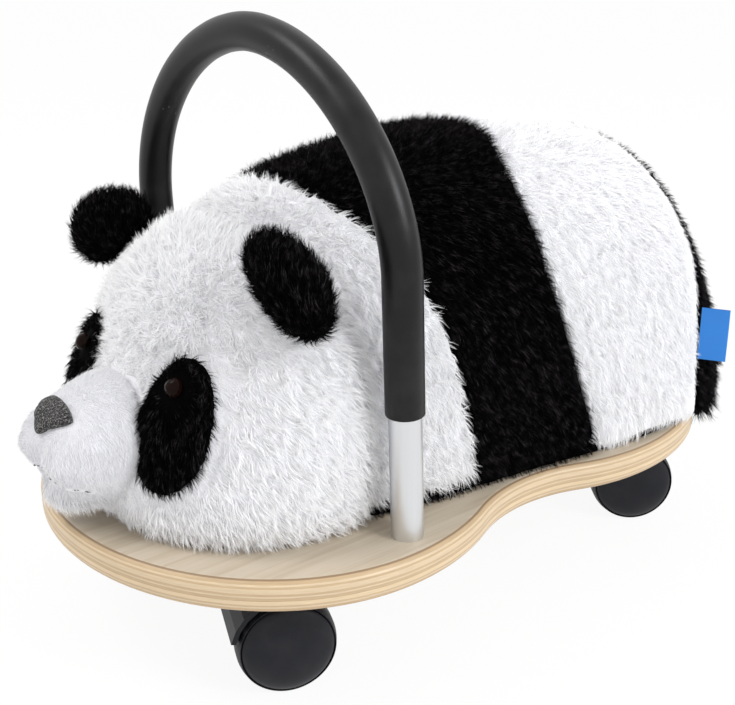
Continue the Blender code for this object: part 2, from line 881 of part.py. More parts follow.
def build_handle():
    foot = -handle_socket_depth + touch_gap
    tube = tube_along("handle_tube", handle_points(foot), tube_radius, parts, steel)
    bore = hide_cutter(tube_along(
        "handle_tube_bore", handle_points(foot - overrun), tube_radius - tube_wall, cutters,
        resolution=bore_resolution,
    ))
    cut(tube, bore)
    smooth_round_parts(tube.data, tube_smooth_angle)
    grip = tube_along("handle_grip", handle_points(sleeve_bottom_height), sleeve_radius, parts, grip_foam)
    grip_bore = hide_cutter(tube_along(
        "handle_grip_bore", handle_points(sleeve_bottom_height - overrun), tube_radius + touch_gap, cutters,
    ))
    cut(grip, grip_bore)
    smooth_round_parts(grip.data, tube_smooth_angle)

    insert_radius = (tube_radius - tube_wall) * math.cos(math.pi / bore_sides) - touch_gap
    insert_low = foot + touch_gap
    insert_profile = [
        (handle_bolt_radius + touch_gap, insert_low),
        (insert_radius, insert_low),
        (insert_radius, insert_low + insert_length),
        (handle_bolt_radius + touch_gap, insert_low + insert_length),
    ]
    flange_top = -board_thickness - 2 * touch_gap
    head_top = flange_top - handle_bolt_flange_thickness
    bolt_profile = [
        (0, head_top - handle_bolt_head_height),
        (handle_bolt_head_radius, head_top - handle_bolt_head_height),
        (handle_bolt_head_radius, head_top),
        (handle_bolt_flange_radius, head_top),
        (handle_bolt_flange_radius, flange_top),
        (handle_bolt_radius, flange_top),
        (handle_bolt_radius, handle_bolt_reach - handle_socket_depth),
        (0, handle_bolt_reach - handle_socket_depth),
    ]
    for side, word in ((1, "_left"), (-1, "_right")):
        frame = upright_at_leg(side)
        for name, profile, bored in (
            ("handle_insert", insert_profile, True),
            ("handle_bolt", bolt_profile, False),
        ):
            mesh = mesh_from(name + word, lambda s: turned(s, profile, small_sides, frame, bored=bored))
            smooth_round_parts(mesh)
            add_object(name + word, mesh, parts, steel)


# Body

def body_section(share, turn, grow=0.0):
    """X and height above the body's base. Turn is 0 at the top, 1 at the widest and full at the base."""
    half_width = body_half_width * smooth_value(body_station_shares, share, 1) + grow
    height = body_height * smooth_value(body_station_shares, share, 2) + grow
    middle = body_widest_height * height / (body_height + grow)
    if abs(turn) <= 1:
        angle = turn * math.pi / 2
        power = 2 / body_side_exponent
        x = half_width * signed_power(math.sin(angle), power)
        return x, middle + (height - middle) * signed_power(math.cos(angle), power)
    fall = (abs(turn) - 1) / (foot_turn - 1)
    x = half_width - body_base_inset * fall**3
    return math.copysign(x, turn), middle * (1 - fall)


def ring_turns():
    """Turns round a section, from the flat bottom's one end over the top to its other end."""
    steps = ring_points - 1
    return [foot_turn * (2 * i / steps - 1) for i in range(ring_points)]


def body_ring(place, grow=0.0, base_drop=0.0):
    """A ring whose distance behind the body's front is place(x share, height share)."""
    ring = []
    for turn in ring_turns():
        x_share = math.sin(max(min(turn, 1), -1) * math.pi / 2)
        height_share = body_section(0.5, turn)[1] / body_height
        behind = place(x_share, height_share)
        x, z = body_section(behind / body_length, turn, grow)
        if z == 0:
            z = -base_drop
        ring.append((x, body_front_y + behind, body_base + z))
    return ring


def front_seam(x_share, height_share):
    return front_seam_top + front_seam_side_shift * x_share**2 + front_seam_base_shift * (1 - height_share)


def band_seam(x_share, height_share):
    off_crest = (x_share - band_crest_x_share) / band_crest_spread_share
    foot = max(1 - height_share / band_foot_share, 0) ** band_foot_exponent
    return band_seam_side + band_crest * math.exp(-(off_crest**2)) + band_foot_shift * foot


def rear_seam(x_share, height_share):
    lean = rear_seam_base_shift * (1 - min(max(height_share, 0), 1) ** rear_seam_exponent)
    return rear_seam_top - rear_seam_side_shift * x_share**2 + lean


def between(first, second, share, shift=0.0):
    return lambda x, h: first(x, h) * (1 - share) + second(x, h) * share + shift


def seam_middle(place, shift):
    """The point that a seam's cut faces are drawn to, so that both sides of the cut match."""
    behind = place(0, 1) * (1 - seam_middle_share) + place(1, 0) * seam_middle_share + shift
    return (0, body_front_y + behind, body_base + body_height / 2)


def dome(ring, pole, steps, sag=0.0):
    """Rings of a rounded end, from the ring towards its pole. Sag flattens the end's upper part."""
    rings = []
    for i in range(1, steps):
        turn = math.pi / 2 * i / steps
        scale = math.cos(turn) ** end_exponent
        drawn = []
        for x, y, z in ring:
            push = math.sin(turn) ** (1 + sag * max(z - pole[2], 0) / body_height)
            fall = scale if z > pole[2] else scale**end_low_exponent
            drawn.append((x * scale, y + (pole[1] - y) * push, pole[2] + (z - pole[2]) * fall))
        rings.append(drawn)
    return rings


def neck_rings(grow=0.0, base_drop=0.0):
    """Rings from the neck's front end to the front seam, with a rounded end before them."""
    start = body_station_shares[0][0] * body_length
    places = [between(lambda x, h: start, front_seam, i / neck_ring_count) for i in range(neck_ring_count)]
    places.append(between(front_seam, front_seam, 0, -touch_gap / 2))
    rings = [body_ring(place, grow, base_drop) for place in places]
    return list(reversed(dome(rings[0], neck_pole(), neck_end_rings))) + rings


def neck_pole():
    return (0, body_front_y, body_base + neck_pole_height)


def core_block(name, grow, collection, surface=None):
    """The firm foam block on the base panel, with its upper edges rounded, or the room for it."""
    low = body_base + touch_gap - grow

    def build(shape):
        bmesh.ops.create_cube(shape, size=1.0)
        size = (core_width + 2 * grow, core_length + 2 * grow, core_height + 2 * grow)
        bmesh.ops.scale(shape, vec=size, verts=shape.verts)
        upper = [edge for edge in shape.edges if max(vert.co.z for vert in edge.verts) > 0]
        bmesh.ops.bevel(
            shape, geom=upper, offset=core_edge_radius + grow, segments=core_edge_segments,
            affect="EDGES", profile=0.5, material=-1,
        )

    block = add_object(name, mesh_from(name, build), collection, surface)
    middle_y = body_front_y + core_front + core_length / 2
    block.location = (0, middle_y, low + core_height / 2 + grow)
    return block


def build_core():
    core = core_block("body_core", 0.0, parts, core_foam)
    smooth_round_parts(core.data)
    return hide_cutter(core_block("core_pocket", touch_gap, cutters))


def build_base_panel():
    """The cloth-covered panel that the body is fixed on."""
    outline = []
    first, last = body_station_shares[2][0], body_station_shares[-2][0]
    for i in range(base_panel_points):
        share = first + (last - first) * i / (base_panel_points - 1)
        x, _ = body_section(share, foot_turn)
        outline.append((x - base_panel_inset, body_front_y + share * body_length))
    outline += [(-x, y) for x, y in reversed(outline)]
    low = board_top + touch_gap
    panel = flat_plate("body_base_panel", outline, low, low + base_panel_thickness, parts, dark_cloth)
    depth = body_screw_length - board_thickness - touch_gap
    pilots = cylinder_cutter(
        "body_screw_pilots", screw_radius + touch_gap, low - overrun, board_top + depth + touch_gap,
        upright(places_of_body_screws()), screw_sides,
    )
    cut(panel, pilots)
    for where, x, y in body_screw_places():
        name = "body_screw_" + where
        mesh = mesh_from(name, lambda s: screw(s, x, y, board_bottom - touch_gap, body_screw_length))
        smooth_round_parts(mesh)
        add_object(name, mesh, parts, steel)


def seam_to_seam(first, second, gap):
    """Rings from just behind one seam to just ahead of the next."""
    shares = [i / body_ring_count for i in range(body_ring_count + 1)]
    return [body_ring(between(first, second, share, gap * (1 - 2 * share))) for share in shares]


def build_body():
    pocket = build_core()
    half_gap = touch_gap / 2
    band = seam_to_seam(front_seam, band_seam, half_gap)
    back = seam_to_seam(band_seam, rear_seam, half_gap)
    seam = body_ring(between(rear_seam, rear_seam, 0, half_gap))
    tail_pole = (0, body_front_y + body_length, body_base + rear_pole_height)
    rear = [seam] + dome(seam, tail_pole, body_ring_count, rear_sag_exponent)
    front_middle = seam_middle(front_seam, half_gap)
    pieces = [
        ("neck", neck_rings(), neck_pole(), seam_middle(front_seam, -half_gap), white_plush),
        ("shoulder_band", band, front_middle, seam_middle(band_seam, -half_gap), black_plush),
        ("back", back, seam_middle(band_seam, half_gap), seam_middle(rear_seam, -half_gap), white_plush),
        ("rear_panel", rear, seam_middle(rear_seam, half_gap), tail_pole, black_plush),
    ]
    made = {}
    for name, rings, first_pole, last_pole, surface in pieces:
        mesh = mesh_from(name, lambda s, r=rings, f=first_pole, l=last_pole: loft(s, r, f, l))
        made[name] = add_object(name, mesh, parts, surface)
        smooth_round_parts(mesh)
        if name != "rear_panel":
            cut(made[name], pocket)
    build_base_panel()
    return made


# Head

def head_plan(height_share, angle, grow=0.0):
    """X and Y at a share of the head's height. Angle 0 points to the face."""
    half_width = head_half_width * smooth_value(head_station_shares, height_share, 1) + grow
    front = head_front_reach * smooth_value(head_station_shares, height_share, 2) + grow
    back = head_back_reach * smooth_value(head_station_shares, height_share, 3) + grow
    power = 2 / head_plan_exponent
    x = half_width * signed_power(math.sin(angle), power)
    ahead = signed_power(math.cos(angle), power)
    return x, head_y - ahead * (front if ahead > 0 else back)


def head_mesh(name, grow=0.0):
    low = board_top + 2 * touch_gap
    rings = []
    for height_share, *_ in head_station_shares:
        z = low + head_height * height_share + grow * (2 * height_share - 1)
        turns = [2 * math.pi * i / head_ring_points for i in range(head_ring_points)]
        rings.append([(*head_plan(height_share, turn, grow), z) for turn in turns])
    pole = (0, head_y, low + head_height + grow)
    return mesh_from(name, lambda shape: loft(shape, rings, None, pole))


def head_surface(x, height):
    """The point of the head's face at an x and a height above the board, and its outward normal."""

    def at(x, height):
        share = height / head_height
        half_width = head_half_width * smooth_value(head_station_shares, share, 1)
        front = head_front_reach * smooth_value(head_station_shares, share, 2)
        ahead = (1 - abs(x / half_width) ** head_plan_exponent) ** (1 / head_plan_exponent)
        return Vector((x, head_y - front * ahead, board_top + height))

    step = head_half_width / 100
    place = at(x, height)
    across = at(x + step, height) - at(x - step, height)
    upward = at(x, height + step) - at(x, height - step)
    return place, across.cross(upward).normalized()


def facing(place, normal, roll=0.0):
    """A frame at a place whose +Z is the normal and whose +Y leans up."""
    up = Vector((0, 0, 1))
    side = up.cross(normal).normalized()
    lift = normal.cross(side)
    turn = Matrix((side, lift, normal)).transposed().to_4x4()
    return Matrix.Translation(place) @ turn @ Matrix.Rotation(roll, 4, "Z")


def muzzle_point(turn, lift, grow=0.0):
    return Vector((0, muzzle_y, board_top + muzzle_middle_height)) + muzzle_offset(turn, lift, grow)


def muzzle_mesh(name, grow=0.0):
    turns, lifts = muzzle_grid()
    rings = [[muzzle_point(turn, lift, grow) for turn in turns] for lift in lifts]
    low = muzzle_point(0, -math.pi / 2, grow)
    high = muzzle_point(0, math.pi / 2, grow)
    return mesh_from(name, lambda shape: loft(shape, rings, low, high))


def muzzle_surface(x, height, grow=0.0):
    """The point of the muzzle's front at an x and a height above the board."""
    lift = math.asin((height - muzzle_middle_height) / (muzzle_half_height + grow))
    turn = math.asin(x / ((muzzle_half_width + grow) * math.cos(lift)))
    return muzzle_point(turn, lift, grow)


def build_ear(name, x, height, ahead, lean, turn):
    """A soft ear that stands out of the head. The sewn head is uneven, so each ear has its own place."""
    place = Matrix.Translation((x, front_lobe_y - ahead, board_top + height))
    pose = Matrix.Rotation(turn, 4, "Z") @ Matrix.Rotation(lean, 4, "Y")
    scale = Matrix.Diagonal((ear_half_width, ear_half_thickness, ear_half_height, 1))

    def build(shape):
        bmesh.ops.create_uvsphere(
            shape, u_segments=ear_segments, v_segments=ear_rings, radius=1.0, matrix=place @ pose @ scale
        )

    mesh = mesh_from(name, build)
    smooth_round_parts(mesh, fur_smooth_angle)
    return add_object(name, mesh, parts, black_plush)


def eye_drop(side):
    """The sewn face is a little uneven: its right eye and patch sit lower."""
    return right_eye_drop if side < 0 else 0


def build_eye(side):
    """A glossy dome with a shank that goes through the patch into the head."""
    name = "eye_left" if side > 0 else "eye_right"
    place, normal = head_surface(side * eye_x, eye_height - eye_drop(side))
    base = patch_thickness + touch_gap
    profile = [
        (0, base - eye_shank_length),
        (eye_shank_radius, base - eye_shank_length),
        (eye_shank_radius, base + touch_gap),
        (eye_radius, base + touch_gap),
    ]
    for i in range(1, eye_rings):
        turn = math.pi / 2 * i / eye_rings
        profile.append((eye_radius * math.cos(turn), base + touch_gap + eye_dome * math.sin(turn)))
    profile.append((0, base + touch_gap + eye_dome))
    frame = facing(place, normal)
    mesh = mesh_from(name, lambda shape: turned(shape, profile, small_sides, frame))
    smooth_round_parts(mesh)
    add_object(name, mesh, parts, eye_gloss)
    return cylinder_cutter(
        name + "_hole", eye_shank_radius + touch_gap, base - eye_shank_length - touch_gap, base + overrun,
        [frame],
    )


def patch_outline():
    """A rounded patch, wider at its lower outer side."""
    outline = []
    for i in range(patch_points):
        turn = 2 * math.pi * i / patch_points
        swell = 1 + patch_swell_share * math.cos(turn + patch_swell_angle)
        outline.append((patch_half_width * swell * math.cos(turn), patch_half_height * math.sin(turn)))
    return outline


def keep_inside(item, tool):
    boolean = item.modifiers.new("kept inside", "BOOLEAN")
    boolean.operation = "INTERSECT"
    boolean.object = tool


def build_patch(side, head_skin, head_room, eye_hole):
    """A pad of fur that follows the head: the part of a thicker head inside a prism."""
    name = "eye_patch_left" if side > 0 else "eye_patch_right"
    place, normal = head_surface(side * patch_x, patch_height - eye_drop(side))
    frame = facing(place, normal, side * -patch_tilt)
    outline = [(side * x, y) for x, y in patch_outline()]
    patch = flat_plate(name, outline, -patch_half_height, patch_half_height, parts, black_plush, frame)
    keep_inside(patch, head_skin)
    cut(patch, head_room, eye_hole)
    return patch


def nose_outline():
    """A rounded triangle with its point down."""
    outline = []
    for i in range(nose_points):
        turn = 2 * math.pi * i / nose_points
        bulge = 1 + nose_corner_share * math.cos(3 * (turn - math.pi / 2))
        x = nose_half_width * bulge * math.cos(turn)
        outline.append((x, nose_half_height * (nose_lift_share + bulge * math.sin(turn))))
    return [(x, -y) for x, y in outline]


def build_head():
    head = add_object("head", head_mesh("head"), parts, white_plush)
    smooth_round_parts(head.data, fur_smooth_angle)
    neck = neck_rings(soft_gap, base_panel_thickness + touch_gap)
    pole = Vector(neck_pole()) - Vector((0, soft_gap, 0))
    neck_room = hide_cutter(add_object(
        "neck_room", mesh_from("neck_room", lambda shape: loft(shape, neck, pole, None)), cutters
    ))
    head_room = hide_cutter(add_object("head_room", head_mesh("head_room", soft_gap), cutters))
    head_skin = hide_cutter(add_object("head_skin", head_mesh("head_skin", patch_thickness), cutters))
    muzzle_room = hide_cutter(add_object("muzzle_room", muzzle_mesh("muzzle_room", soft_gap), cutters))

    muzzle = add_object("muzzle", muzzle_mesh("muzzle"), parts, white_plush)
    smooth_round_parts(muzzle.data, fur_smooth_angle)
    cut(muzzle, head_room)
    nose_skin = hide_cutter(add_object("nose_skin", muzzle_mesh("nose_skin", nose_thickness), cutters))
    tip = muzzle_surface(0, nose_height)
    nose_frame = facing(tip, Vector((0, -1, 0)))
    nose = flat_plate(
        "nose", nose_outline(), -muzzle_half_depth / 2, nose_thickness * 2, parts, dark_cloth, nose_frame
    )
    keep_inside(nose, nose_skin)
    cut(nose, muzzle_room)

    holes = {side: build_eye(side) for side in (-1, 1)}
    cut(head, neck_room, holes[-1], holes[1])
    for side in (-1, 1):
        patch = build_patch(side, head_skin, head_room, holes[side])
        cut(patch, muzzle_room)
    ears = (
        ("ear_left", left_ear_x, left_ear_height, left_ear_ahead, left_ear_lean, left_ear_turn),
        ("ear_right", right_ear_x, right_ear_height, right_ear_ahead, right_ear_lean, right_ear_turn),
    )
    for ear in ears:
        cut(build_ear(*ear), head_room)
    build_mouth()


def build_mouth():
    """The stitched mouth line, a thread that lies on the muzzle."""
    clear = stitch_radius + soft_gap
    points = []
    for i in range(stitch_points):
        x = mouth_half_width * (2 * i / (stitch_points - 1) - 1)
        height = mouth_height - mouth_rise * (1 - math.cos(math.pi * x / mouth_half_width)) / 2
        points.append(muzzle_surface(x, height, clear))
    tube_along("mouth_stitching", points, stitch_radius, parts, dark_cloth, resolution=1)


def build_tag():
    """A bare ribbon tag that stands out of the rear seam."""
    behind = rear_seam(1, (tag_middle_height - base_panel_thickness) / body_height)
    x, _ = body_section(behind / body_length, 1)

    def build(shape):
        bmesh.ops.create_cube(shape, size=1.0)
        bmesh.ops.scale(shape, vec=(tag_width, tag_thickness, tag_height), verts=shape.verts)
        bmesh.ops.bevel(
            shape, geom=edges_along(shape, "y"), offset=tag_thickness, segments=tag_corner_segments,
            affect="EDGES", profile=0.5, material=-1,
        )

    tag = add_object("side_tag", mesh_from("side_tag", build), parts, blue_ribbon)
    reach = tag_width / 2 + touch_gap * 2
    tag.location = (
        x + reach * math.cos(tag_heading),
        body_front_y + behind + reach * math.sin(tag_heading),
        board_top + tag_middle_height,
    )
    tag.rotation_euler = (0, 0, tag_heading)


build_board()
build_casters()
build_handle()
build_body()
build_head()
build_tag()
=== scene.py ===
import json
import math

import bmesh
import bpy
from mathutils import Matrix, Vector, noise
from mathutils.bvhtree import BVHTree


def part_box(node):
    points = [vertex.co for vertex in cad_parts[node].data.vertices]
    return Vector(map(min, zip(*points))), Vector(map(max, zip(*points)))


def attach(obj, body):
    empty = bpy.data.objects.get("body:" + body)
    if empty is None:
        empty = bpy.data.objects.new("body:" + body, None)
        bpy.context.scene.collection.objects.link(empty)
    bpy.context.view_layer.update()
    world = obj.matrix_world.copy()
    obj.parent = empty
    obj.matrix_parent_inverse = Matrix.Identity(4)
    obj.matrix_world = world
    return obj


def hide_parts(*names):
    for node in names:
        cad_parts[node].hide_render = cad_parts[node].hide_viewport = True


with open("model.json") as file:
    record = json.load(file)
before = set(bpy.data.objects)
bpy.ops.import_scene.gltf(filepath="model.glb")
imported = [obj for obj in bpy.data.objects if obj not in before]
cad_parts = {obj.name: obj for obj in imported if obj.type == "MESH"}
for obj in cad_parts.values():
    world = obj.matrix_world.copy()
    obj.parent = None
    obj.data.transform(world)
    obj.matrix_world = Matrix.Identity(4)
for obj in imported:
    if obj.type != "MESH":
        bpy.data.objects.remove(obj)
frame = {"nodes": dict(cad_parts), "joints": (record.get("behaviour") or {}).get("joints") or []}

scene = bpy.context.scene
for spare in ("Cube", "Light", "Camera"):
    if spare in bpy.data.objects:
        bpy.data.objects.remove(bpy.data.objects[spare])
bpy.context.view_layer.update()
scene.view_settings.view_transform = "Standard"
boardLow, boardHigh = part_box("base_board")


# Small helpers for objects, meshes and directions
def addObject(name, data):
    made = bpy.data.objects.new(name, data)
    scene.collection.objects.link(made)
    return made


def meshFrom(name, shape):
    mesh = bpy.data.meshes.new(name)
    shape.to_mesh(mesh)
    shape.free()
    return mesh


def directionTo(azimuth, elevation):
    flat = math.cos(elevation)
    return Vector((math.sin(azimuth) * flat, -math.cos(azimuth) * flat, math.sin(elevation)))


# Camera at the photograph's angle
photoView = {
    "imageWidth": 735,
    "focalPixels": 1133.74,
    "sensorWidth": 36,
    "azimuth": 0.9195,
    "elevation": 0.3344,
    "roll": -0.0105,
    "distance": 0.636,
    "target": (0, -0.03307, 0.1483),
    "shiftRight": 26.27,
    "shiftUp": -24.96,
    "nearest": 0.01,
}


def placeCamera(view):
    azimuth, roll = view["azimuth"], view["roll"]
    back = directionTo(azimuth, view["elevation"])
    right = Vector((math.cos(azimuth), math.sin(azimuth), 0))
    up = back.cross(right)
    turnedRight = math.cos(roll) * right + math.sin(roll) * up
    turnedUp = math.cos(roll) * up - math.sin(roll) * right
    camera = addObject("photoCamera", bpy.data.cameras.new("photoCamera"))
    placed = Matrix((turnedRight, turnedUp, back)).transposed().to_4x4()
    placed.translation = Vector(view["target"]) + back * view["distance"]
    camera.matrix_world = placed
    camera.data.sensor_width = view["sensorWidth"]
    camera.data.lens = view["focalPixels"] * view["sensorWidth"] / view["imageWidth"]
    camera.data.shift_x = view["shiftRight"] / view["imageWidth"]
    camera.data.shift_y = view["shiftUp"] / view["imageWidth"]
    camera.data.clip_start = view["nearest"]
    scene.camera = camera


placeCamera(photoView)


# Small helpers for nodes
def addNode(tree, kind, values=None, **properties):
    made = tree.nodes.new(kind)
    for name, value in properties.items():
        setattr(made, name, value)
    for name, value in (values or {}).items():
        if isinstance(value, bpy.types.NodeSocket):
            tree.links.new(value, made.inputs[name])
        else:
            made.inputs[name].default_value = value
    return made


def calc(tree, operation, *values):
    return addNode(tree, "ShaderNodeMath", dict(enumerate(values)), operation=operation).outputs[0]


def vectorCalc(tree, operation, *values):
    made = addNode(tree, "ShaderNodeVectorMath", operation=operation)
    for place, value in enumerate(values):
        socket = made.inputs["Scale"] if operation == "SCALE" and place == 1 else made.inputs[place]
        if isinstance(value, bpy.types.NodeSocket):
            tree.links.new(value, socket)
        else:
            socket.default_value = value
    return made.outputs["Vector"]


def opaque(colour):
    return colour if isinstance(colour, bpy.types.NodeSocket) else (*colour, 1)


def blendColours(tree, share, first, second, way="MIX"):
    made = addNode(tree, "ShaderNodeMix", {0: share, 6: opaque(first), 7: opaque(second)}, data_type="RGBA",
                   blend_type=way)
    return made.outputs[2]


def ramp(tree, share, stops):
    made = addNode(tree, "ShaderNodeValToRGB", {"Fac": share})
    elements = made.color_ramp.elements
    while len(elements) < len(stops):
        elements.new(0.5)
    for element, (place, colour) in zip(elements, stops):
        element.position = place
        element.color = opaque(colour)
    return made.outputs["Color"]


def newMaterial(name, **sockets):
    made = bpy.data.materials.new(name)
    made.use_nodes = True
    shader = made.node_tree.nodes["Principled BSDF"]
    for socket, value in sockets.items():
        shader.inputs[socket.replace("_", " ")].default_value = value
    return made, made.node_tree, shader


def objectPlace(tree, scale=(1, 1, 1), turn=(0, 0, 0)):
    place = addNode(tree, "ShaderNodeTexCoord").outputs["Object"]
    mapping = addNode(tree, "ShaderNodeMapping", {"Vector": place, "Scale": scale, "Rotation": turn})
    return mapping.outputs["Vector"]


def speckle(tree, place, scale, detail=2.0, roughness=0.5, output="Factor"):
    made = addNode(tree, "ShaderNodeTexNoise", {"Vector": place, "Scale": scale, "Detail": detail,
                                                "Roughness": roughness})
    return made.outputs[0] if output == "Factor" else made.outputs["Color"]


def spots(tree, scale, detail=2.0, roughness=0.5, stretch=(1, 1, 1)):
    return speckle(tree, objectPlace(tree, stretch), scale, detail, roughness)


def plug(tree, shader, **sockets):
    for socket, value in sockets.items():
        tree.links.new(value, shader.inputs[socket.replace("_", " ")])


def addBump(tree, shader, height, strength, distance):
    bump = addNode(tree, "ShaderNodeBump", {"Height": height, "Strength": strength, "Distance": distance})
    plug(tree, shader, Normal=bump.outputs["Normal"])


# Studio: pale floor, soft lights, white all round
studio = {
    "floorSize": 60.0,
    "floorColour": (0.94, 0.94, 0.94),
    "floorGlow": 0.92,
    "worldForObject": 0.88,
    "middle": (0, 0, 0.14),
    "lamps": (
        # name, azimuth, elevation, distance, size, power, colour
        ("keyLamp", -28, 54, 1.7, 0.55, 9.5, (1.0, 0.99, 0.97)),
        ("sideLamp", 106, 32, 1.9, 0.60, 18.0, (0.97, 0.98, 1.0)),
        ("rearLamp", -150, 50, 1.9, 1.2, 2.0, (1.0, 1.0, 1.0)),
    ),
}


def seenDirectly(tree):
    path = addNode(tree, "ShaderNodeLightPath")
    return calc(tree, "MAXIMUM", path.outputs["Is Camera Ray"],
                calc(tree, "MAXIMUM", path.outputs["Is Glossy Ray"], path.outputs["Is Transmission Ray"]))


def buildFloor(settings):
    shape = bmesh.new()
    bmesh.ops.create_grid(shape, x_segments=2, y_segments=2, size=settings["floorSize"] / 2)
    floor = addObject("studioFloor", meshFrom("studioFloor", shape))
    surface, tree, shader = newMaterial("paleFloor", Roughness=0.9, Specular_IOR_Level=0.0)
    shader.inputs["Base Color"].default_value = opaque(settings["floorColour"])
    glow = addNode(tree, "ShaderNodeEmission", {"Color": (1, 1, 1, 1), "Strength": 1.0})
    share = calc(tree, "MULTIPLY", seenDirectly(tree), settings["floorGlow"])
    mixed = addNode(tree, "ShaderNodeMixShader", {0: share, 1: shader.outputs[0], 2: glow.outputs[0]})
    tree.links.new(mixed.outputs[0], tree.nodes["Material Output"].inputs["Surface"])
    floor.data.materials.append(surface)


def buildLight(settings):
    world = bpy.data.worlds.new("whiteRoom")
    world.use_nodes = True
    scene.world = world
    tree = world.node_tree
    background = tree.nodes["Background"]
    background.inputs["Color"].default_value = (1, 1, 1, 1)
    strength = calc(tree, "MULTIPLY_ADD", seenDirectly(tree), 1 - settings["worldForObject"],
                    settings["worldForObject"])
    tree.links.new(strength, background.inputs["Strength"])
    for name, azimuth, elevation, distance, size, power, colour in settings["lamps"]:
        toward = directionTo(math.radians(azimuth), math.radians(elevation))
        lamp = addObject(name, bpy.data.lights.new(name, "AREA"))
        lamp.data.size, lamp.data.energy, lamp.data.color = size, power, colour
        lamp.location = Vector(settings["middle"]) + toward * distance
        lamp.rotation_mode = "QUATERNION"
        lamp.rotation_quaternion = toward.to_track_quat("Z", "Y")


buildFloor(studio)
buildLight(studio)
print("stage: studio and camera ready")


# Birch plywood: plies on the edge, long grain on the faces
plywood = {
    "plyThickness": 0.00142,
    "unevenness": 0.42,
    "unevenWaves": 1.9,
    "wander": 0.0005,
    "wanderStretch": (14, 14, 60),
    "faceColour": (0.50, 0.42, 0.313),
    "faceLight": (0.55, 0.475, 0.375),
    "faceGrain": (0.39, 0.315, 0.225),
    "longPly": (0.62, 0.48, 0.31),
    "endPly": (0.48, 0.34, 0.195),
    "plyVariety": 0.30,
    "longStretch": (260, 9, 260),
    "endStretch": (90, 90, 2200),
    "endShade": (0.55, 0.73),
    "grainPlaces": (0.28, 0.46, 0.62, 0.82),
    "cloudStretch": (9, 3, 9),
    "cloudShare": 0.5,
    "glueLine": (0.20, 0.13, 0.075),
    "glueWidth": 0.05,
    "glueShare": 0.35,
    "faceDepth": 0.00025,
    "veneerDepth": 0.0007,
    "veneerShare": 0.75,
    "roughness": (0.22, 0.36),
    "bump": (0.10, 0.0005),
}


def plywoodMaterial(settings):
    made, tree, shader = newMaterial("birchPlywood", Coat_Weight=0.10, Coat_Roughness=0.3,
                                     Specular_IOR_Level=0.35)
    place = addNode(tree, "ShaderNodeTexCoord").outputs["Object"]
    height = addNode(tree, "ShaderNodeSeparateXYZ", {0: place}).outputs["Z"]
    above = calc(tree, "SUBTRACT", height, boardLow.z)
    wander = calc(tree, "SUBTRACT", spots(tree, 1.0, stretch=settings["wanderStretch"]), 0.5)
    level = calc(tree, "DIVIDE", calc(tree, "ADD", above, calc(tree, "MULTIPLY", wander, settings["wander"])),
                 settings["plyThickness"])
    waves = calc(tree, "SINE", calc(tree, "MULTIPLY", level, settings["unevenWaves"]))
    level = calc(tree, "MULTIPLY_ADD", waves, settings["unevenness"], level)
    plyNumber = calc(tree, "FLOOR", level)
    odd = calc(tree, "FLOORED_MODULO", plyNumber, 2.0)
    chance = addNode(tree, "ShaderNodeTexWhiteNoise", {"W": plyNumber}, noise_dimensions="1D")
    longGrain = spots(tree, 1.0, 5.0, 0.6, settings["longStretch"])
    endGrain = spots(tree, 1.0, 4.0, 0.7, settings["endStretch"])
    plyColour = blendColours(tree, odd, settings["longPly"], settings["endPly"])
    variety = calc(tree, "MULTIPLY", chance.outputs["Value"], settings["plyVariety"])
    plyColour = blendColours(tree, variety, plyColour, settings["faceColour"])
    shade = calc(tree, "MULTIPLY_ADD", endGrain, *settings["endShade"])
    shadeColour = addNode(tree, "ShaderNodeCombineColor", {0: shade, 1: shade, 2: shade}).outputs[0]
    plyColour = blendColours(tree, 1.0, plyColour, shadeColour, "MULTIPLY")
    glue = calc(tree, "LESS_THAN", calc(tree, "FRACT", level), settings["glueWidth"])
    plyColour = blendColours(tree, calc(tree, "MULTIPLY", glue, settings["glueShare"]), plyColour,
                             settings["glueLine"])
    grainColours = [settings[name] for name in ("faceGrain", "faceColour", "faceLight", "faceGrain")]
    grain = ramp(tree, longGrain, list(zip(settings["grainPlaces"], grainColours)))
    cloud = spots(tree, 1.0, stretch=settings["cloudStretch"])
    faceColour = blendColours(tree, calc(tree, "MULTIPLY", cloud, settings["cloudShare"]), grain,
                              settings["faceLight"])
    depth = calc(tree, "MINIMUM", calc(tree, "SUBTRACT", boardHigh.z, height), above)
    veneer = calc(tree, "MULTIPLY", calc(tree, "LESS_THAN", depth, settings["veneerDepth"]),
                  settings["veneerShare"])
    colour = blendColours(tree, veneer, plyColour, settings["glueLine"])
    colour = blendColours(tree, calc(tree, "LESS_THAN", depth, settings["faceDepth"]), colour, faceColour)
    plug(tree, shader, Base_Color=colour,
         Roughness=calc(tree, "MULTIPLY_ADD", longGrain, *settings["roughness"]))
    addBump(tree, shader, longGrain, *settings["bump"])
    return made


# Satin steel, for the tube and every fixing
steel = {"colour": (0.74, 0.75, 0.76), "dull": (0.60, 0.61, 0.62), "streakShare": 0.35,
         "streaks": (420, 420, 14), "roughness": 0.36, "streakRoughness": 0.10, "cloudRoughness": 0.08,
         "bump": (0.05, 0.0002)}


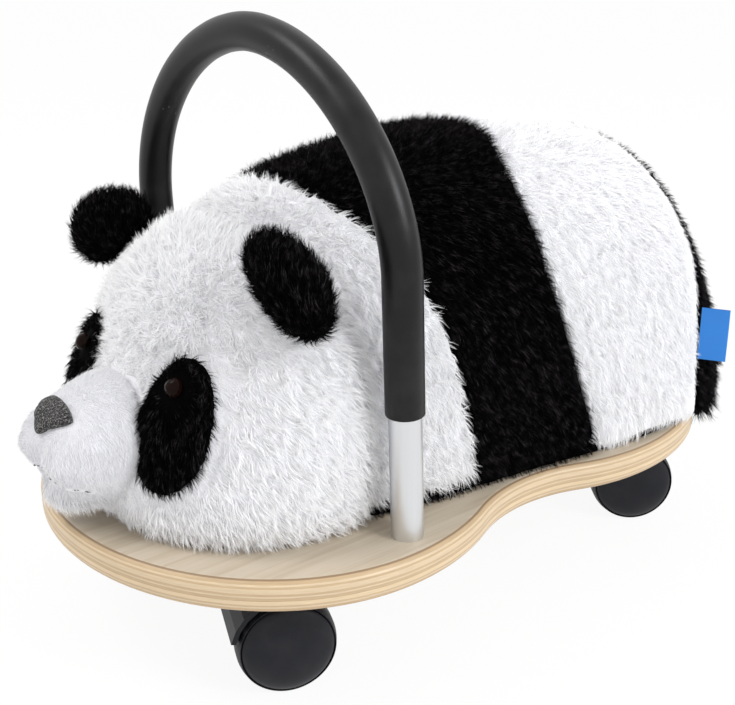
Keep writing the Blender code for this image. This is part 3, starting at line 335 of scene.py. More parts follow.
def steelMaterial(settings):
    made, tree, shader = newMaterial("satinSteel", Metallic=1.0)
    streak = spots(tree, 1.0, 3.0, stretch=settings["streaks"])
    cloud = spots(tree, 60.0)
    share = calc(tree, "MULTIPLY", streak, settings["streakShare"])
    rough = calc(tree, "MULTIPLY_ADD", streak, settings["streakRoughness"],
                 settings["roughness"] - settings["streakRoughness"] / 2)
    plug(tree, shader, Base_Color=blendColours(tree, share, settings["colour"], settings["dull"]),
         Roughness=calc(tree, "ADD", rough, calc(tree, "MULTIPLY", cloud, settings["cloudRoughness"])))
    addBump(tree, shader, streak, *settings["bump"])
    return made


# Foam rubber sleeve of the handle
sleeve = {"colour": (0.0045, 0.0043, 0.0050), "worn": (0.020, 0.019, 0.019), "fleck": (0.16, 0.16, 0.16),
          "fleckLimit": 0.71, "fleckRegion": 0.60, "fleckShare": 0.75, "roughness": (0.18, 0.28),
          "bump": (0.20, 0.0003)}


def sleeveMaterial(settings):
    made, tree, shader = newMaterial("foamSleeve", Specular_IOR_Level=0.26, Sheen_Weight=0.01,
                                     Sheen_Roughness=0.4)
    rubbed = spots(tree, 34.0, 4.0, 0.62)
    colour = blendColours(tree, ramp(tree, rubbed, [(0.45, (0, 0, 0)), (0.78, (0.7, 0.7, 0.7))]),
                          settings["colour"], settings["worn"])
    fleck = calc(tree, "MULTIPLY", calc(tree, "GREATER_THAN", spots(tree, 420.0), settings["fleckLimit"]),
                 calc(tree, "GREATER_THAN", spots(tree, 22.0, 1.0), settings["fleckRegion"]))
    fleck = calc(tree, "MULTIPLY", fleck, settings["fleckShare"])
    rough = calc(tree, "MULTIPLY_ADD", rubbed, *settings["roughness"])
    plug(tree, shader, Base_Color=blendColours(tree, fleck, colour, settings["fleck"]), Roughness=rough)
    addBump(tree, shader, spots(tree, 1500.0, 2.0, 0.6), *settings["bump"])
    return made


# Moulded plastic of wheels, caps and housings
plastic = {"colour": (0.0050, 0.0056, 0.0090), "scuffed": (0.060, 0.060, 0.062), "roughSpread": 0.16,
           "bump": (0.10, 0.0002)}


def plasticMaterial(name, settings, roughness, scuff):
    made, tree, shader = newMaterial(name, Specular_IOR_Level=0.24)
    cloud = spots(tree, 70.0, 4.0, 0.6)
    rubbed = ramp(tree, cloud, [(0.42, (0, 0, 0)), (0.80, (scuff, scuff, scuff))])
    spread = settings["roughSpread"]
    rough = calc(tree, "MULTIPLY_ADD", cloud, spread, roughness - spread / 2)
    plug(tree, shader, Base_Color=blendColours(tree, rubbed, settings["colour"], settings["scuffed"]),
         Roughness=rough)
    addBump(tree, shader, spots(tree, 1900.0), *settings["bump"])
    return made


# Glossy dark brown eyes
eyeSettings = {"colour": (0.0015, 0.0006, 0.0005), "ringColour": (0.012, 0.0045, 0.0035)}


def eyeMaterial(settings):
    made, tree, shader = newMaterial("eyeGloss", Roughness=0.05, Specular_IOR_Level=0.06)
    plug(tree, shader,
         Base_Color=blendColours(tree, spots(tree, 350.0), settings["colour"], settings["ringColour"]))
    return made


def dressNodes(nodes, surface):
    for node in nodes:
        for slot in frame["nodes"][node].material_slots:
            slot.material = surface


allNodes = sorted(frame["nodes"])
steelMetal = steelMaterial(steel)
birchPlywood = plywoodMaterial(plywood)
foamRubber = sleeveMaterial(sleeve)
housingPlastic = plasticMaterial("casterPlastic", plastic, 0.42, 0.25)
treadPlastic = plasticMaterial("wheelPlastic", plastic, 0.50, 1.0)
capPlastic = plasticMaterial("capPlastic", plastic, 0.40, 0.15)
dressNodes(["eye_left", "eye_right"], eyeMaterial(eyeSettings))
dressNodes([node for node in allNodes if node.startswith(("handle_insert", "handle_bolt", "body_screw"))
            or node.endswith(("_plate", "_kingpin", "_axle"))], steelMetal)
dressNodes([node for node in allNodes if node.endswith("_housing")], housingPlastic)
print("stage: carried-over nodes dressed")


# Making a new piece, attaching it to its body and hiding the solids it replaces
def newPiece(name, shape, surface, body, slotName, *solids):
    for face in shape.faces:
        face.smooth = True
    mesh = meshFrom(name, shape)
    mesh.materials.append(surface)
    return declare(addObject(name, mesh), body, slotName, *solids)


def declare(piece, body, slotName, *solids):
    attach(piece, body)
    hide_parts(*solids)
    return piece


def evaluatedMesh(piece):
    bpy.context.view_layer.update()
    graph = bpy.context.evaluated_depsgraph_get()
    made = bpy.data.meshes.new_from_object(piece.evaluated_get(graph), depsgraph=graph)
    made.name = piece.name
    return made


def middleOf(node):
    low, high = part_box(node)
    return (low + high) / 2


def signedPower(value, exponent):
    return math.copysign(abs(value) ** exponent, value)


def roundEdges(shape, edges, radius, steps):
    bmesh.ops.bevel(shape, geom=edges, offset=radius, segments=steps, affect="EDGES", profile=0.5,
                    material=-1)


# Board: two lobes and a waist arc that touches both, with rounded edges
boardShape = {
    "frontRadius": 0.1303, "frontLength": 0.1167, "rearRadius": 0.1213, "rearLength": 0.1310,
    "lobeSpacing": 0.1759, "waistRadius": 0.095, "edgeRadius": 0.005,
    "edgeSteps": 6, "lobeSteps": 44, "waistSteps": 22,
}
frontLobeY = boardLow.y + boardShape["frontLength"]


def boardOutline(settings):
    front, rear, waist = settings["frontRadius"], settings["rearRadius"], settings["waistRadius"]
    spacing = settings["lobeSpacing"]
    rearLobeY = frontLobeY + spacing
    behind = ((front + waist) ** 2 - (rear + waist) ** 2 + spacing**2) / (2 * spacing)
    waistX, waistY = math.sqrt((front + waist) ** 2 - behind**2), frontLobeY + behind
    frontTurn = math.atan2(waistY - frontLobeY, waistX)
    rearTurn = math.atan2(rearLobeY - waistY, waistX)
    half = []
    for i in range(settings["lobeSteps"] + 1):
        angle = -math.pi / 2 + (math.pi / 2 + frontTurn) * i / settings["lobeSteps"]
        reach = settings["frontLength"] if angle < 0 else front
        half.append((front * math.cos(angle), frontLobeY + reach * math.sin(angle)))
    for i in range(1, settings["waistSteps"]):
        angle = math.pi + frontTurn - (frontTurn + rearTurn) * i / settings["waistSteps"]
        half.append((waistX + waist * math.cos(angle), waistY + waist * math.sin(angle)))
    for i in range(settings["lobeSteps"] + 1):
        angle = -rearTurn + (math.pi / 2 + rearTurn) * i / settings["lobeSteps"]
        reach = settings["rearLength"] if angle > 0 else rear
        half.append((rear * math.cos(angle), rearLobeY + reach * math.sin(angle)))
    return half + [(-x, y) for x, y in reversed(half[1:-1])]


def buildBoard(settings):
    shape = bmesh.new()
    rim = [shape.verts.new((x, y, boardLow.z)) for x, y in boardOutline(settings)]
    base = shape.faces.new(rim)
    raised = bmesh.ops.extrude_face_region(shape, geom=[base], use_keep_orig=True)["geom"]
    bmesh.ops.translate(shape, vec=(0, 0, boardHigh.z - boardLow.z),
                        verts=[part for part in raised if isinstance(part, bmesh.types.BMVert)])
    bmesh.ops.recalc_face_normals(shape, faces=shape.faces)
    level = [edge for edge in shape.edges
             if abs(edge.verts[0].co.z - edge.verts[1].co.z) < settings["edgeRadius"]]
    roundEdges(shape, level, settings["edgeRadius"], settings["edgeSteps"])
    board = newPiece("plywoodBoard", shape, birchPlywood, "toy", "birch_plywood", "base_board")
    board.modifiers.new("flatFaces", "WEIGHTED_NORMAL").keep_sharp = True


buildBoard(boardShape)


# Handle: a bent steel tube in a foam sleeve
handleShape = {
    "legInset": 0.0184, "legHeight": 0.1294, "archHeight": 0.1004, "archExponent": 1.88,
    "lean": math.radians(2.03), "behindFrontLobe": 0.0094, "tubeRadius": 0.008, "sleeveRadius": 0.0095,
    "footBelow": 0.0097, "sleeveBottom": 0.0638, "sleeveEdge": 0.0006, "tubeEdge": 0.0008,
    "archSteps": 90, "legSteps": 8, "roundness": 10, "edgeSteps": 3, "sharpAngle": math.radians(60),
}


def handlePath(settings, low):
    half = boardShape["frontRadius"] - settings["legInset"]
    high = settings["legHeight"]
    power = 2 / settings["archExponent"]
    leg = [(half, low + (high - low) * i / settings["legSteps"]) for i in range(settings["legSteps"])]
    arch = []
    for i in range(settings["archSteps"] + 1):
        angle = math.pi * i / settings["archSteps"]
        arch.append((half * signedPower(math.cos(angle), power),
                     high + settings["archHeight"] * signedPower(math.sin(angle), power)))
    place = Matrix.Translation((0, frontLobeY + settings["behindFrontLobe"], boardHigh.z))
    place = place @ Matrix.Rotation(settings["lean"], 4, "X")
    return [place @ Vector((x, 0, z)) for x, z in leg + arch + [(-x, z) for x, z in reversed(leg)]]


def tubePiece(name, points, radius, edge, surface, slotName, solid):
    curve = bpy.data.curves.new(name, "CURVE")
    curve.dimensions = "3D"
    curve.bevel_depth, curve.bevel_resolution, curve.use_fill_caps = radius, handleShape["roundness"], True
    spline = curve.splines.new("POLY")
    spline.points.add(len(points) - 1)
    for point, place in zip(spline.points, points):
        point.co = (*place, 1)
    guide = addObject(name + "Guide", curve)
    shape = bmesh.new()
    shape.from_mesh(evaluatedMesh(guide))
    bpy.data.objects.remove(guide)
    bmesh.ops.remove_doubles(shape, verts=shape.verts, dist=radius / 1000)
    bmesh.ops.recalc_face_normals(shape, faces=shape.faces)
    ends = [link for link in shape.edges
            if len(link.link_faces) == 2 and link.calc_face_angle() > handleShape["sharpAngle"]]
    roundEdges(shape, ends, edge, handleShape["edgeSteps"])
    newPiece(name, shape, surface, "toy", slotName, solid)


tubePiece("steelHandleTube", handlePath(handleShape, -handleShape["footBelow"]), handleShape["tubeRadius"],
          handleShape["tubeEdge"], steelMetal, "satin_steel", "handle_tube")
tubePiece("foamHandleSleeve", handlePath(handleShape, handleShape["sleeveBottom"]),
          handleShape["sleeveRadius"], handleShape["sleeveEdge"], foamRubber, "foam_sleeve", "handle_grip")
print("stage: board and handle ready")


# Wheels and their domed caps, as rounded profiles turned about each axle
wheelShape = {
    "radius": 0.0255, "width": 0.0135, "innerFace": 0.0062, "chamfer": 0.0020, "shoulderWidth": 0.0045,
    "shoulderDrop": 0.0012, "bore": 0.0029, "capRadius": 0.0236, "rimGap": 0.0003, "capSeat": 0.0015,
    "capDome": 0.0055, "cornerSteps": 4, "domeSteps": 16, "sides": 96, "sharpAngle": math.radians(40),
}
longestRounding = 0.45   # the share of a side that one rounded corner may take


def roundedProfile(corners, steps):
    points = []
    for i, (across, along, radius) in enumerate(corners):
        corner = Vector((across, along))
        before = Vector(corners[i - 1][:2]) - corner
        after = Vector(corners[(i + 1) % len(corners)][:2]) - corner
        reach = min(radius, before.length * longestRounding, after.length * longestRounding)
        if reach == 0:
            points.append(corner)
            continue
        start, end = corner + before.normalized() * reach, corner + after.normalized() * reach
        for step in range(steps + 1):
            share = step / steps
            points.append(start * (1 - share) ** 2 + corner * 2 * share * (1 - share) + end * share**2)
    return points


def wheelProfile(settings):
    seat = settings["width"] - settings["capSeat"]
    rim = settings["capRadius"] + settings["rimGap"]
    shoulder = settings["width"] - settings["shoulderWidth"]
    return roundedProfile([
        (settings["bore"], 0, 0),
        (settings["radius"], 0, settings["chamfer"]),
        (settings["radius"], shoulder, settings["chamfer"]),
        (settings["radius"] - settings["shoulderDrop"], settings["width"], settings["rimGap"]),
        (rim, settings["width"], settings["rimGap"]),
        (rim, seat, 0),
        (settings["bore"], seat, 0),
    ], settings["cornerSteps"])


def capProfile(settings):
    seat = settings["width"] - settings["capSeat"] + settings["rimGap"]
    rise = settings["width"] + settings["capDome"] - seat
    points = [Vector((0, seat))]
    for step in range(settings["domeSteps"] + 1):
        turn = math.pi / 2 * step / settings["domeSteps"]
        points.append(Vector((settings["capRadius"] * math.cos(turn), seat + rise * math.sin(turn))))
    return points


def turnedPiece(name, profile, place, surface, body, solid):
    shape = bmesh.new()
    ring = [shape.verts.new((point.x, 0, wheelShape["innerFace"] + point.y)) for point in profile]
    path = [shape.edges.new((ring[i - 1], ring[i])) for i in range(len(ring))]
    bmesh.ops.spin(shape, geom=ring + path, cent=(0, 0, 0), axis=(0, 0, 1), angle=2 * math.pi,
                   steps=wheelShape["sides"], use_merge=True)
    bmesh.ops.remove_doubles(shape, verts=shape.verts, dist=wheelShape["rimGap"] / 100)
    bmesh.ops.recalc_face_normals(shape, faces=shape.faces)
    bmesh.ops.transform(shape, matrix=place, verts=shape.verts)
    for edge in shape.edges:
        edge.smooth = len(edge.link_faces) == 2 and edge.calc_face_angle() < wheelShape["sharpAngle"]
    newPiece(name, shape, surface, body, "caster_plastic", solid)


def buildWheels(settings):
    for joint in frame["joints"]:
        if not joint["name"].endswith("_spin"):
            continue
        wheel = joint["child"].removesuffix("_body")
        middle, axis = Vector(joint["pos_m"]), Vector(joint["axis"]).normalized()
        if (middleOf(wheel) - middle).dot(axis) < 0:
            axis = -axis
        place = Matrix.Translation(middle) @ axis.to_track_quat("Z", "Y").to_matrix().to_4x4()
        turnedPiece(wheel + "Tread", wheelProfile(settings), place, treadPlastic, joint["child"], wheel)
        turnedPiece(wheel + "Dome", capProfile(settings), place, capPlastic, joint["child"], wheel + "_cap")


buildWheels(wheelShape)
print("stage: wheels ready")


# Plush: each stuffed piece is a cloth skin grown from its solid, with tufts of pile standing on it
softNodes = ("head", "neck", "shoulder_band", "back", "rear_panel", "muzzle", "ear_left", "ear_right",
             "eye_patch_left", "eye_patch_right", "nose", "body_base_panel", "body_core")
standIns = {}            # new shapes that other pieces meet in place of the CAD solid
farAhead = 0.2           # a ray from the front starts this far before the toy


def treeOf(solids):
    shape = bmesh.new()
    for solid in solids:
        shape.from_mesh(standIns.get(solid, frame["nodes"][solid].data))
    tree = BVHTree.FromBMesh(shape)
    shape.free()
    return tree


def metFromAhead(tree, x, z):
    return tree.ray_cast(Vector((x, boardLow.y - farAhead, z)), Vector((0, 1, 0)))[:2]


def easedShare(value):
    value = min(max(value, 0.0), 1.0)
    return value * value * (3 - 2 * value)


boardTree = treeOf(("base_board",))
muzzleTree = treeOf(("muzzle",))
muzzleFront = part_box("muzzle")[0].y
rearTree = treeOf(("rear_panel",))
backTree = treeOf(("back",))
bodyMiddle = middleOf("back").z
featureTree = treeOf(("muzzle", "ear_left", "ear_right", "eye_patch_left", "eye_patch_right"))
eyeAxes = []
for eye in ("eye_left", "eye_right"):
    tip = min((vert.co for vert in frame["nodes"][eye].data.vertices), key=lambda place: place.y).copy()
    eyeAxes.append((tip, (tip - middleOf(eye)).normalized()))
noseLow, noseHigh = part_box("nose")
noseTip = Vector((0, noseLow.y, (noseLow.z + noseHigh.z) / 2))


def besideEye(place):
    return min(((place - tip).cross(axis).length, place - tip) for tip, axis in eyeAxes)


# Stitched mouth: short stitches along a rising line on the muzzle
mouthLine = {"count": 14, "threadRadius": 0.00038, "stitchShare": 0.55, "wobble": 0.0005, "wobbleScale": 900,
             "sides": 8, "lift": 0.0013, "span": 0.84}
mouthLow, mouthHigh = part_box("mouth_stitching")
mouthHalf = (mouthHigh.x - mouthLow.x) / 2


def mouthRise(x):
    across = min(abs(x) / mouthHalf, 1.0)
    return mouthHigh.z - (mouthHigh.z - mouthLow.z) * (1 - math.cos(math.pi * across)) / 2 + mouthLine["lift"]


def mouthPlaces(settings, count):
    places = []
    for i in range(count):
        x = mouthHalf * settings["span"] * (2 * i / (count - 1) - 1)
        z = mouthRise(x) + settings["wobble"] * noise.noise(Vector((x * settings["wobbleScale"], 0, 0)))
        hit = metFromAhead(muzzleTree, x, z)[0]
        if hit:
            places.append(hit)
    return places


mouthPoints = mouthPlaces(mouthLine, 2 * mouthLine["count"])


def fromMouth(place):
    return min((place - point).length for point in mouthPoints)


# Colours of the pile from its skin to its tips, darker towards the skin as painted shade among the tufts, and
# its painted patches on the locks: painted shade on white pile, painted highlight on black pile
plushColours = {
    "white": {
        # Skin and roots darker than the tips: painted shade among the tufts; the bluish-grey patch colour:
        # painted shade
        "skin": (0.80, 0.80, 0.83), "root": (0.89, 0.89, 0.905), "middle": (0.962, 0.962, 0.972),
        "tip": (0.982, 0.982, 0.986), "paintedLockShading": (0.91, 0.91, 0.94), "paintedLockShadingShare": 0.5, "sheen": 0.2,
        "shine": 0.15,
    },
    "muzzle": {
        # As on the white pile: skin and roots darker than the tips, and the grey patch colour, are painted
        # shade
        "skin": (0.70, 0.70, 0.735), "root": (0.74, 0.74, 0.765), "middle": (0.83, 0.83, 0.845),
        "tip": (0.87, 0.87, 0.88), "paintedLockShading": (0.78, 0.78, 0.81), "paintedLockShadingShare": 0.5, "sheen": 0.1,
        "shine": 0.15,
    },
    "black": {
        # Roots darker than the tips: painted shade; the lighter tips and the light patch colour: painted
        # highlight on the tufts' tips
        "skin": (0.0002, 0.0002, 0.0002), "root": (0.0002, 0.0002, 0.0002),
        "middle": (0.0006, 0.0005, 0.0006), "tip": (0.0065, 0.0058, 0.0066),
        "paintedLockShading": (0.130, 0.116, 0.126), "paintedLockShadingShare": 1.0, "sheen": 0.0, "shine": 0.035,
    },
}


def plushMaterial(name, settings):
    made, tree, shader = newMaterial(name, Roughness=0.86, Sheen_Weight=settings["sheen"],
                                     Sheen_Roughness=0.45, Specular_IOR_Level=settings["shine"])
    along = addNode(tree, "ShaderNodeAttribute", attribute_name="furTip").outputs["Fac"]
    tone = addNode(tree, "ShaderNodeAttribute", attribute_name="furTone").outputs["Fac"]
    cloud = ramp(tree, spots(tree, 240.0, 3.0, 0.65), [(0.45, (0, 0, 0)), (0.70, (1, 1, 1))])
    # Colour from skin to tip: darker towards the skin, painted shade among the tufts; on black pile the
    # lighter tips are painted highlight
    colour = ramp(tree, along, [(0.0, settings["skin"]), (0.04, settings["root"]), (0.45, settings["middle"]),
                                (1.0, settings["tip"])])
    # Patches on the outer parts of the tufts: darker ones on white pile are painted shade, lighter ones on
    # black pile are painted highlight
    share = calc(tree, "MULTIPLY", calc(tree, "MULTIPLY", cloud, along),
                 calc(tree, "MULTIPLY", calc(tree, "MULTIPLY", tone, tone), settings["paintedLockShadingShare"]))
    plug(tree, shader, Base_Color=blendColours(tree, share, colour, settings["paintedLockShading"]))
    return made


whitePlush = plushMaterial("whitePlush", plushColours["white"])
blackPlush = plushMaterial("blackPlush", plushColours["black"])
shortPlush = plushMaterial("muzzlePlush", plushColours["muzzle"])


# One tuft of pile: three bent blades that part towards their tips, side by side on the tuft's own map.
# Its sides are in root widths and its height in lengths.
tuftShape = {"blades": 3, "levels": (0.0, 0.5, 1.0), "apart": 0.5, "bend": 9.0, "part": 1.5,
             "halfWidth": 0.55}
mapMargin = 0.05         # free share at each side of a blade's or a tuft's part of the map


def buildTuft(settings):
    shape = bmesh.new()
    mapLayer = shape.loops.layers.uv.new("OFBake")
    tipLayer = shape.verts.layers.float.new("furTip")
    for blade in range(settings["blades"]):
        turn = 2 * math.pi * blade / settings["blades"]
        outward = Vector((math.cos(turn), math.sin(turn), 0))
        rows = []
        for level in settings["levels"]:
            middle = Vector((settings["bend"] * level * level, 0, level))
            middle += outward * (settings["apart"] + settings["part"] * level)
            width = settings["halfWidth"] * (1 - level)
            across = Vector((-outward.y, outward.x, 0)) * width
            sides = [middle - across, middle + across] if width else [middle]
            row = [shape.verts.new(side) for side in sides]
            for vert in row:
                vert[tipLayer] = level
            rows.append(row)
        for lower, upper in zip(rows, rows[1:]):
            face = shape.faces.new([lower[0], lower[1], *reversed(upper)])
            face.smooth = True
            places = (0.0, 1.0, 0.5) if len(upper) == 1 else (0.0, 1.0, 1.0, 0.0)
            for loop, across in zip(face.loops, places):
                share = blade + mapMargin + (1 - 2 * mapMargin) * across
                loop[mapLayer].uv = (share / settings["blades"], loop.vert[tipLayer])
    tuft = addObject("tuftPattern", meshFrom("tuftPattern", shape))
    tuft.hide_render = True
    return tuft


tuftPattern = buildTuft(tuftShape)
skinMapShare = 0.14      # the skin's part of each piece's map, above the tufts' cells
skinMapGap = 0.01        # what is left free between the two

# Where a body overhangs the board's edge, its stuffing droops over it
droop = {"depth": 0.0125, "reach": 0.006, "fadeHeight": 0.034}
# The back's lower rim hangs over the base panel
rimHang = {"start": 0.020, "end": 0.006, "down": 0.0050, "outward": 0.0020}


def overBoard(place):
    return boardTree.ray_cast(Vector((place.x, place.y, boardLow.z - 1)), Vector((0, 0, 1)))[0] is not None


def droopAt(place):
    rise = place.z - boardHigh.z
    if rise > droop["fadeHeight"] or overBoard(place):
        return 0.0
    beyond = boardTree.find_nearest(Vector((place.x, place.y, (boardLow.z + boardHigh.z) / 2)))[3]
    return droop["depth"] * easedShare(beyond / droop["reach"]) * easedShare(1 - rise / droop["fadeHeight"])


def hangAt(place, normal):
    rise = place.z - boardHigh.z
    low = easedShare((rimHang["start"] - rise) / (rimHang["start"] - rimHang["end"]))
    outward = Vector((normal.x, normal.y, 0)) * rimHang["outward"]
    return (outward - Vector((0, 0, rimHang["down"]))) * low


# Below the mouth a soft chin rolls forward and down to the board
chin = {"below": 0.0030, "reach": 0.012, "down": 0.0130, "ahead": 0.0100, "clear": 0.0010, "back": 0.026}


def belowMouth(place):
    return easedShare((mouthRise(place.x) - chin["below"] - place.z) / chin["reach"])


def chinAt(place):
    share = belowMouth(place) * easedShare((muzzleFront + chin["back"] - place.y) / chin["back"])
    move = Vector((0, -chin["ahead"], -chin["down"])) * share
    if overBoard(place + move):
        move.z = max(move.z, min(0.0, boardHigh.z + chin["clear"] - place.z))
    return move


def smoothBy(piece, iterations):
    smooth = piece.modifiers.new("stuffing", "SMOOTH")
    smooth.factor, smooth.iterations = 0.5, iterations
    finishModifiers(piece)


def finishModifiers(piece):
    made = evaluatedMesh(piece)
    old = piece.data
    piece.modifiers.clear()
    piece.data = made
    bpy.data.meshes.remove(old)


# Where stuffed pieces bulge past their plain solids: the side that moves, and how far its end goes
bulges = {
    "ear_left": ((-0.58, -0.72, 0.38), (-0.0032, -0.0040, 0.0021)),
    "ear_right": ((0.62, 0.68, 0.38), (0.0100, 0.0030, 0.0020)),
    "eye_patch_left": ((-0.60, -0.60, 0.50), (-0.0018, -0.0018, 0.0015)),
    "eye_patch_right": ((0.75, 0.60, 0.0), (0.0022, 0.0018, 0.0)),
}
# Place, reach and depth of the hollow beside the right ear. The muzzle's cheeks rise: their depth is below 0.
hollows = {
    "head": (((-0.066, -0.118, 0.207), 0.035, 0.005),),
    "muzzle": (((-0.021, -0.206, 0.131), 0.022, -0.0045), ((0.021, -0.206, 0.128), 0.020, -0.0020)),
}


def bulgeOut(skin, side, move):
    along = Vector(side).normalized()
    reaches = [vert.co.dot(along) for vert in skin.data.vertices]
    middle = (min(reaches) + max(reaches)) / 2
    for vert, reach in zip(skin.data.vertices, reaches):
        vert.co += Vector(move) * max(0.0, (reach - middle) / (max(reaches) - middle))


def pressHollows(skin, pressed):
    for place, reach, depth in pressed:
        for vert in skin.data.vertices:
            near = easedShare(1 - (vert.co - Vector(place)).length / reach)
            vert.co -= vert.normal * depth * near


# The seam between back and rear panel: the panel's rim rises to just below the back's rim
rearSeam = {"reach": 0.012, "drop": 0.0024, "rimHeight": 0.03, "blackReach": 0.010, "whiteReach": 0.016}


def roomAt(settings, place):
    if "seamRoom" in settings and rearTree.find_nearest(place)[3] < rearSeam["reach"]:
        return settings["seamRoom"]
    return settings["room"]


def besideSeam(place):
    return 1 - easedShare(backTree.find_nearest(place)[3] / rearSeam["blackReach"])


def beforeSeam(place):
    return easedShare(rearTree.find_nearest(place)[3] / rearSeam["whiteReach"])


def raisedRim(place):
    outward = Vector((place.x, 0, place.z - bodyMiddle)).normalized()
    ahead = place - Vector((0, rearSeam["reach"] / 2, 0))
    lacking = backTree.ray_cast(ahead, outward, 2 * rearSeam["reach"])[3] or 0.0
    rise = max(0.0, lacking - rearSeam["drop"])
    return outward * rise * besideSeam(place) * easedShare((place.z - bodyMiddle) / rearSeam["rimHeight"])


weldDistance = 0.00002   # corners of a CAD solid this close are one
lastSmoothing = 2        # smoothing steps after a skin has been moved


def softSkin(name, solid, settings, others=None):
    shape = bmesh.new()
    shape.from_mesh(frame["nodes"][solid].data)
    bmesh.ops.remove_doubles(shape, verts=shape.verts, dist=weldDistance)
    skin = addObject(name, meshFrom(name, shape))
    skin.data.materials.clear()
    remesh = skin.modifiers.new("evenCloth", "REMESH")
    remesh.mode, remesh.voxel_size, remesh.use_smooth_shade = "VOXEL", settings["cloth"], True
    smoothBy(skin, settings["smoothing"])
    if solid in bulges:
        bulgeOut(skin, *bulges[solid])
    pressHollows(skin, hollows.get(solid, ()))
    if others is None:
        return skin
    moves = []
    for vert in skin.data.vertices:
        swell = noise.noise(vert.co * settings["lumpScale"]) * settings["lump"]
        covered = others.ray_cast(vert.co, vert.normal, roomAt(settings, vert.co))[0] is not None
        inset = settings["inset"]
        if solid == "back":
            inset *= beforeSeam(vert.co)
        move = vert.normal * (0.0 if covered else swell - inset)
        if solid == "back":
            move += hangAt(vert.co, vert.normal)
        if solid == "muzzle":
            move += chinAt(vert.co)
        if solid == "rear_panel":
            move += raisedRim(vert.co)
        moves.append(move - Vector((0, 0, droopAt(vert.co))))
    for vert, move in zip(skin.data.vertices, moves):
        vert.co += move
    smoothBy(skin, lastSmoothing)
    return skin


def mapSkin(skin):
    bpy.ops.object.select_all(action="DESELECT")
    skin.select_set(True)
    bpy.context.view_layer.objects.active = skin
    skin.data.uv_layers.new(name="OFBake")
    bpy.ops.object.mode_set(mode="EDIT")
    bpy.ops.mesh.select_all(action="SELECT")
    bpy.ops.uv.smart_project(angle_limit=1.15, island_margin=0.002, scale_to_bounds=True)
    bpy.ops.object.mode_set(mode="OBJECT")
    for entry in skin.data.uv_layers["OFBake"].uv:
        entry.vector.y = 1 - skinMapShare * (1 - entry.vector.y)


shortestPile = 0.05      # below this share of its length no pile grows


def markSkin(skin, others, settings, comb, pile):
    mesh = skin.data
    bare = [others.ray_cast(face.center, face.normal, roomAt(settings, face.center))[0] is not None
            or pile(face.center) < shortestPile for face in mesh.polygons]
    combed = []
    for vert in mesh.vertices:
        wanted = comb(vert.co, vert.normal)
        combed.extend(wanted - vert.normal * wanted.dot(vert.normal))

    def mark(label, values, kind="FLOAT", domain="POINT", field="value"):
        mesh.attributes.new(label, kind, domain).data.foreach_set(field, values)

    mark("furShare", [0.0 if covered else 1.0 for covered in bare], domain="FACE")
    mark("pile", [pile(vert.co) for vert in mesh.vertices])
    mark("comb", combed, "FLOAT_VECTOR", field="vector")
    mark("furTip", [0.0] * len(mesh.vertices))
    mark("furTone", [0.5] * len(mesh.vertices))


chancesPerPiece = 20     # seeds that are kept apart for one piece's random values


